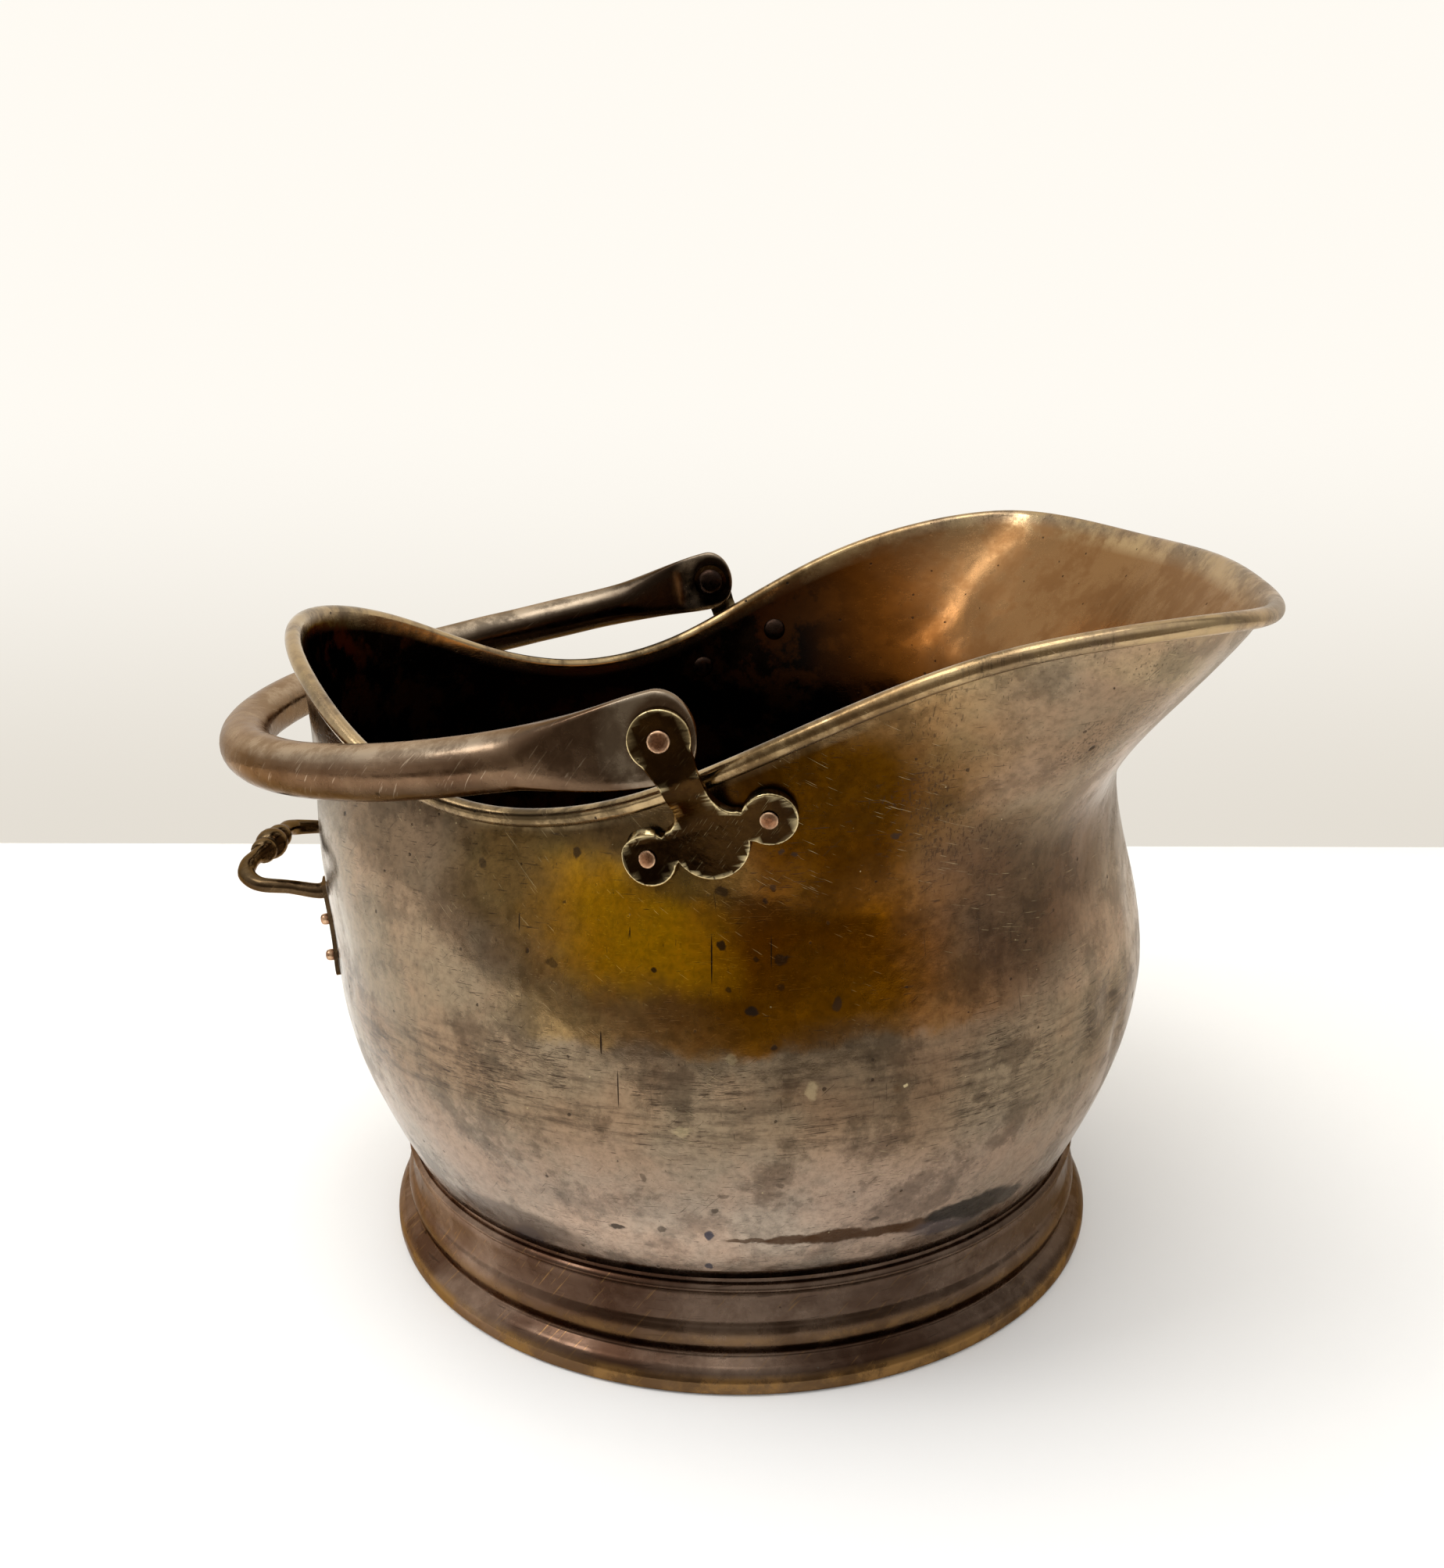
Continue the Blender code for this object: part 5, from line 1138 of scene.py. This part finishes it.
# turned rivet about Z: proud head, shank through the grip, broad inner head
def rivetHead(kind, grip):
    head, height, boss, bossHeight, shank = rivets[kind]
    profile = [(0, height), (head * 0.45, height * 0.97), (head * 0.78, height * 0.86),
               (head * 0.94, height * 0.66), (head, height * 0.4), (head, 0), (shank, 0), (shank, -grip),
               (boss, -grip),
               (boss * 0.95, -grip - bossHeight * 0.35), (boss * 0.7, -grip - bossHeight * 0.78),
               (boss * 0.35, -grip - bossHeight * 0.96), (0, -grip - bossHeight)]
    item = applied(lathe("rivetHead", profile, 28), "rivetHead", rivetCopper)
    smoothTo(item.data, 40)

    def wearAndSheenAt(place, normal):
        return ease((hypot(place.x, place.y) / head - 0.7) / 0.25) if place.z > height * 0.1 else 0.0

    paint(item, "wearAndSheen", wearAndSheenAt)
    paint(item, "inner", lambda place, normal: float(place.z < -grip / 2))
    return item


# geometry nodes that set the head on every point, along the point's aim
def rivetTree():
    tree = bpy.data.node_groups.new("setRivets", "GeometryNodeTree")
    tree.interface.new_socket("Geometry", in_out="INPUT", socket_type="NodeSocketGeometry")
    tree.interface.new_socket("Head", in_out="INPUT", socket_type="NodeSocketObject")
    tree.interface.new_socket("Geometry", in_out="OUTPUT", socket_type="NodeSocketGeometry")
    inlet, outlet = tree.nodes.new("NodeGroupInput").outputs, tree.nodes.new("NodeGroupOutput").inputs
    head = add(tree, "GeometryNodeObjectInfo", {"Object": inlet["Head"]}, transform_space="ORIGINAL")
    aim = add(tree, "GeometryNodeInputNamedAttribute", {"Name": "aim"}, data_type="FLOAT_VECTOR")
    turn = add(tree, "FunctionNodeAlignRotationToVector", {"Vector": aim.outputs["Attribute"]}, axis="Z")
    points = add(tree, "GeometryNodeMeshToPoints", {"Mesh": inlet["Geometry"]})
    placed = add(tree, "GeometryNodeInstanceOnPoints", {"Points": points.outputs[0],
                 "Instance": head.outputs["Geometry"], "Rotation": turn.outputs[0]})
    real = add(tree, "GeometryNodeRealizeInstances", {"Geometry": placed.outputs[0]})
    tree.links.new(real.outputs[0], outlet["Geometry"])
    return tree


setRivets = rivetTree()


# one plain mesh of rivets at (point, outward) places
def rivetRow(name, places, kind, grip):
    head = rivetHead(kind, grip)
    mesh = bpy.data.meshes.new(name)
    mesh.from_pydata([tuple(point) for point, aim in places], [], [])
    field = mesh.attributes.new("aim", "FLOAT_VECTOR", "POINT")
    field.data.foreach_set("vector", [value for point, aim in places for value in aim])
    item = newObject(name, mesh)
    row = item.modifiers.new("rivets", "NODES")
    row.node_group = setRivets
    row[setRivets.interface.items_tree["Head"].identifier] = head
    made = applied(item, name, rivetCopper)
    bpy.data.objects.remove(head, do_unlink=True)
    ontoFoot(made)
    return made


wallGrip = 2 * gap + lug["room"] + sheet + 0.0005
washerInner = bail["paddleOffset"] - bail["paddleThickness"] / 2 - gap - washer["thickness"]

lugRivetPlaces = []
for side in sides.values():
    for direction, (along, rise) in ((1, lug["frontLobe"]), (-1, lug["rearLobe"])):
        middle, aim = lugFrame(direction * along, rise, side)
        lugRivetPlaces.append((middle + aim * (lug["thickness"] / 2 + gap), aim))
lugRivets = rivetRow("lugRivets", lugRivetPlaces, "lug", lug["thickness"] + wallGrip)
pivotPlaces = [(Vector((pivot["x"], side * (earOuterFace + gap), pivot["height"])), Vector((0, side, 0)))
               for side in sides.values()]
pivotRivets = rivetRow("pivotRivets", pivotPlaces, "pivot", earOuterFace - washerInner + 2 * gap)


def strapFrame(side, height, across=0.0):
    lift = sheet / 2 + gap + lug["room"] + handle["strapThickness"] / 2
    turn = handle["turn"] + across / (wallRadius(handle["turn"], height) + lift)
    radius = wallRadius(turn, height) + lift
    slope = (wallRadius(turn, height + sheet) - wallRadius(turn, height - sheet)) / (2 * sheet)
    direction = Vector((cos(turn), side * sin(turn), -slope)).normalized()
    return Vector((radius * cos(turn), side * radius * sin(turn), height)), direction


strapPlaces = []
for side in sides.values():
    for drop in (handle["rivetDrop"], handle["rivetDrop"] + handle["rivetSpacing"]):
        middle, aim = strapFrame(side, handle["rootHeight"] - drop)
        strapPlaces.append((middle + aim * (handle["strapThickness"] / 2 + gap), aim))
strapRivets = rivetRow("strapRivets", strapPlaces, "strap", handle["strapThickness"] + wallGrip)


def makeWashers():
    work = bmesh.new()
    top, hole, radius = washer["thickness"], washer["hole"], washer["radius"]
    profile = roundProfile([(hole, top), (radius, top), (radius, 0), (hole, 0)], 0.0002, 2)
    for side in sides.values():
        ring = lathe("washer", profile, 48, closed=True)
        turn = Vector((0, side, 0)).to_track_quat("Z", "Y").to_matrix().to_4x4()
        ring.matrix_world = Matrix.Translation((pivot["x"], side * washerInner, pivot["height"])) @ turn
        takeIn(work, applied(ring, "washer", lugBrass))
    item = newObject("washers", meshFrom("washers", work), lugBrass)
    smoothTo(item.data, 40)
    ontoFoot(item)
    return item


washers = makeWashers()
print("rivets and washers ready")


# points and radii of one arm, from its strap to the knop
def barWay(side):
    root, direction = strapFrame(side, handle["rootHeight"])
    controls = [root, root + direction * handle["stub"]]
    radii = [handle["rootRadius"], mixValue(handle["rootRadius"], handle["armRadius"], 0.6)]
    for out, span, rise, swell in handle["way"]:
        controls.append(Vector((root.x - handle["outreach"] * out, side * handle["halfSpan"] * span,
                                root.z + handle["rise"] * rise)))
        radii.append(mixValue(handle["armRadius"], handle["cornerRadius"], swell))
    points, sizes = [], []
    for i in range(len(controls) - 1):
        before, after = controls[max(i - 1, 0)], controls[min(i + 2, len(controls) - 1)]
        start, end = controls[i], controls[i + 1]
        for step in range(7):
            share = step / 7
            points.append(cubicBetween(start, end, (end - before) / 2, (after - start) / 2, share))
            sizes.append(mixValue(radii[i], radii[i + 1], share))
    return points, sizes


def knopRadius(y):
    way = abs(y)
    if way <= handle["knopHalf"]:
        swell, share = handle["knopRadius"], way / handle["knopHalf"]
    else:
        middle = handle["knopHalf"] + handle["beadHalf"]
        swell, share = handle["beadRadius"], abs(way - middle) / handle["beadHalf"]
    return mixValue(handle["knopNeck"], swell, sqrt(max(0, 1 - share * share)))


# the bar in one go, through the beads and the knop in its middle
def makeBar():
    leftPoints, leftSizes = barWay(1)
    rightPoints, rightSizes = barWay(-1)
    root = leftPoints[0]
    knop = Vector((root.x - handle["outreach"] * handle["knopBack"], 0, root.z + handle["rise"]))
    end = handle["knopHalf"] + 2 * handle["beadHalf"]
    ways = []
    for low, high in ((end, handle["knopHalf"]), (handle["knopHalf"], 0)):
        ways += [mixValue(low, high, (1 - cos(pi * step / 12)) / 2) for step in range(12)]
    stations = ways + [0] + [-way for way in reversed(ways)]
    points = leftPoints + [knop + Vector((0, y, 0)) for y in stations] + rightPoints[::-1]
    sizes = leftSizes + [knopRadius(y) for y in stations] + rightSizes[::-1]
    curve = bpy.data.curves.new("rearBar", "CURVE")
    curve.dimensions = "3D"
    curve.bevel_depth = max(sizes)
    curve.bevel_resolution = 8
    curve.use_fill_caps = True
    spline = curve.splines.new("POLY")
    spline.points.add(len(points) - 1)
    for knot, point, radius in zip(spline.points, points, sizes):
        knot.co = (*point, 1)
        knot.radius = radius / max(sizes)
    return applied(newObject("rearBar", curve), "rearBar", handleBrass)


# leaf riveted to the wall, its foot rounded
def makeStrap(side):
    wide = handle["strapHalfWidth"]
    rows = []
    for step in range(37):
        rise = (handle["strapTop"] - handle["strapBottom"]) * (step / 36) ** 1.5
        below = max(0, wide - rise)
        halfWidth = min(sqrt(wide ** 2 - below ** 2) + sheet * 0.3, wide)
        height = handle["strapBottom"] + rise
        rows.append([strapFrame(side, height, halfWidth * (i / 5 - 1))[0] for i in range(11)])
    strap = newObject("strap", gridMesh("strap", rows))
    leaf = strap.modifiers.new("sheet", "SOLIDIFY")
    leaf.thickness = handle["strapThickness"]
    leaf.offset = 0
    rim = strap.modifiers.new("rim", "BEVEL")
    rim.width = 0.00035
    rim.segments = 2
    rim.limit_method = "ANGLE"
    return applied(strap, "strap", handleBrass)


def makeRearHandle():
    work = bmesh.new()
    takeIn(work, makeBar())
    for side in sides.values():
        takeIn(work, makeStrap(side))
    bmesh.ops.remove_doubles(work, verts=work.verts, dist=weld)
    bmesh.ops.recalc_face_normals(work, faces=work.faces)
    item = newObject("rearHandle", meshFrom("rearHandle", work), handleBrass)
    smoothTo(item.data, 45)
    paint(item, "wearAndSheen", lambda place, normal: 0.4 * ease(normal.z) * ease((-place.x - 0.145) / 0.02))
    ontoFoot(item)
    return item


rearHandle = makeRearHandle()
print("rear handle ready")

# each piece with the body that it rides on, its material slot and the nodes that it replaces
riders = (
    (bodyShell, "scuttle", "copper_patina", ("body_shell",)),
    (edgeWire, "scuttle", "copper_patina", ("rim_wire",)),
    (bottomPlate, "scuttle", "copper_patina", ("bottom_plate",)),
    (footRing, "scuttle", "foot_copper", ("foot_ring",)),
    (lugPlates["left"], "scuttle", "dark_brass", ("bail_lug_left",)),
    (lugPlates["right"], "scuttle", "dark_brass", ("bail_lug_right",)),
    (lugRivets, "scuttle", "rivet_copper", ("lug_rivet_1", "lug_rivet_2", "lug_rivet_3", "lug_rivet_4")),
    (pivotRivets, "scuttle", "rivet_copper", ("pivot_rivet_left", "pivot_rivet_right")),
    (washers, "scuttle", "dark_brass", ("pivot_washer_left", "pivot_washer_right")),
    (strapRivets, "scuttle", "rivet_copper",
     ("rear_handle_rivet_1", "rear_handle_rivet_2", "rear_handle_rivet_3", "rear_handle_rivet_4")),
    (rearHandle, "scuttle", "dark_brass", ("rear_handle",)),
    (bailTube, "bail", "dark_brass", ("bail_handle",)),
)
for piece, body, slot, nodes in riders:
    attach(piece, body)
    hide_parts(*nodes)

# camera solved from the photograph; angles in radians
view = {"place": (0.018207, -0.490552, 0.290575), "pitch": 0.27588, "yaw": -0.0402, "roll": -0.00969,
        "lens": 33.765, "sensor": 36}
pitch, yaw, roll = view["pitch"], view["yaw"], view["roll"]
forward = Vector((sin(yaw) * cos(pitch), cos(yaw) * cos(pitch), -sin(pitch)))
right = Vector((cos(yaw), -sin(yaw), 0))
up = right.cross(forward)
rolledRight = right * cos(roll) + up * sin(roll)
rolledUp = up * cos(roll) - right * sin(roll)
lensData = bpy.data.cameras.new("photoView")
lensData.lens = view["lens"]
lensData.sensor_width = view["sensor"]
lensData.clip_start = 0.01
camera = bpy.data.objects.new("photoView", lensData)
scene.collection.objects.link(camera)
turned = Matrix((rolledRight, rolledUp, -forward)).transposed().to_4x4()
camera.matrix_world = Matrix.Translation(view["place"]) @ turned
scene.camera = camera

# floor, wall and what stands for the room; each fade is an axis, where it runs and the tone it leads to
stageLook = {
    "floor": (0.95, 0.945, 0.935), "floorRoughness": 0.6, "wallLow": (0.78, 0.735, 0.66),
    "wallHigh": (1.0, 0.965, 0.90), "right": (0.42, 0.40, 0.37), "left": (0.82, 0.81, 0.78),
    "roof": (0.95, 0.94, 0.92), "room": (0.27, 0.235, 0.19), "daylight": (1.06, 1.055, 1.045),
    "backdrop": (0.96, 0.94, 0.88), "wallAt": 0.393, "tableEdge": -0.455, "roomHeight": 0.0006, "reach": 3,
    "wallFades": (("Z", 0.0, 0.28, "wallHigh"), ("X", 0.60, 1.10, "right"), ("X", -0.60, -1.10, "left")),
    "skyFades": (("X", 0.55, 0.95, "right"), ("X", -0.60, -0.95, "left"), ("Z", 0.25, 0.85, "roof")),
}
# name, place, target, width and height, power, colour
lamps = (
    ("windowLeft", (-1.0, -0.45, 1.5), (0, 0, 0.1), (0.5, 0.5), 4.5, (1.0, 1.0, 0.99)),
    ("ceiling", (-0.15, -0.20, 1.5), (0, 0, 0), (0.9, 0.7), 5.0, (1.0, 0.99, 0.96)),
    ("lowSky", (-1.25, 0.05, 0.85), (0, 0, 0.05), (0.8, 0.8), 4.0, (0.98, 1.0, 1.0)),
)


def stagePlane(name, corners, material):
    mesh = bpy.data.meshes.new(name)
    mesh.from_pydata(corners, [], [(0, 1, 2, 3)])
    item = bpy.data.objects.new(name, mesh)
    scene.collection.objects.link(item)
    mesh.materials.append(material)
    return item


def emptyTree(owner):
    owner.use_nodes = True
    owner.node_tree.nodes.clear()
    return owner.node_tree


def fadedTone(tree, direction, start, fades):
    axes = axesOf(tree, direction)
    for axis, low, high, name in fades:
        start = fade(tree, axes[axis], low, high, start, stageLook[name])
    return start


def finishTree(tree, shader, kind="ShaderNodeOutputMaterial"):
    tree.links.new(shader.outputs[0], add(tree, kind).inputs["Surface"])


far = stageLook["reach"]
floorPaint = bpy.data.materials.new("paleTop")
floorPaint.use_nodes = True
floorShader = floorPaint.node_tree.nodes["Principled BSDF"]
floorShader.inputs["Base Color"].default_value = (*stageLook["floor"], 1)
floorShader.inputs["Roughness"].default_value = stageLook["floorRoughness"]
stagePlane("tableTop", [(-far, -far, 0), (far, -far, 0), (far, far, 0), (-far, far, 0)], floorPaint)

# the wall glows for camera and reflections, is matte for the rest, and isn't there from behind
wallPaint = bpy.data.materials.new("paleWall")
tree = emptyTree(wallPaint)
place = add(tree, "ShaderNodeTexCoord").outputs["Object"]
tone = fadedTone(tree, place, stageLook["wallLow"], stageLook["wallFades"])
glow = add(tree, "ShaderNodeEmission", {"Color": tone, "Strength": 1.0})
matte = add(tree, "ShaderNodeBsdfDiffuse", {"Color": tone})
path = add(tree, "ShaderNodeLightPath").outputs
seen = calc(tree, "MAXIMUM", path["Is Camera Ray"], path["Is Glossy Ray"])
front = add(tree, "ShaderNodeMixShader", {0: seen, 1: matte.outputs[0], 2: glow.outputs[0]})
clear = add(tree, "ShaderNodeBsdfTransparent")
behind = add(tree, "ShaderNodeNewGeometry").outputs["Backfacing"]
finishTree(tree, add(tree, "ShaderNodeMixShader", {0: behind, 1: front.outputs[0], 2: clear.outputs[0]}))
at = stageLook["wallAt"]
stagePlane("backWall", [(-far, at, 0), (far, at, 0), (far, at, far), (-far, at, far)], wallPaint)

# dim room behind the camera: only reflections see it, past the table's near edge
roomPaint = bpy.data.materials.new("dimRoom")
tree = emptyTree(roomPaint)
finishTree(tree, add(tree, "ShaderNodeEmission", {"Color": (*stageLook["room"], 1), "Strength": 1.0}))
edge, low = stageLook["tableEdge"], stageLook["roomHeight"]
corners = [(-far, edge, low), (far, edge, low), (far, -far, low), (-far, -far, low)]
room = stagePlane("dimRoom", corners, roomPaint)
room.visible_camera = room.visible_diffuse = room.visible_shadow = room.visible_transmission = False

scene.world = bpy.data.worlds.new("softRoom")
tree = emptyTree(scene.world)
direction = add(tree, "ShaderNodeTexCoord").outputs["Generated"]
tone = fadedTone(tree, direction, stageLook["room"], stageLook["skyFades"])
path = add(tree, "ShaderNodeLightPath").outputs
tone = blendColour(tree, path["Is Glossy Ray"], stageLook["daylight"], tone)
tone = blendColour(tree, path["Is Camera Ray"], tone, stageLook["backdrop"])
finishTree(tree, add(tree, "ShaderNodeBackground", {"Color": tone, "Strength": 1.0}), "ShaderNodeOutputWorld")

for name, place, target, (width, height), power, colour in lamps:
    lamp = bpy.data.lights.new(name, "AREA")
    lamp.shape = "RECTANGLE"
    lamp.size, lamp.size_y = width, height
    lamp.energy = power
    lamp.color = colour
    item = bpy.data.objects.new(name, lamp)
    scene.collection.objects.link(item)
    item.location = place
    item.rotation_euler = (Vector(target) - Vector(place)).to_track_quat("-Z", "Y").to_euler()
    item.visible_glossy = name != "lowSky"
print("stage and camera ready")
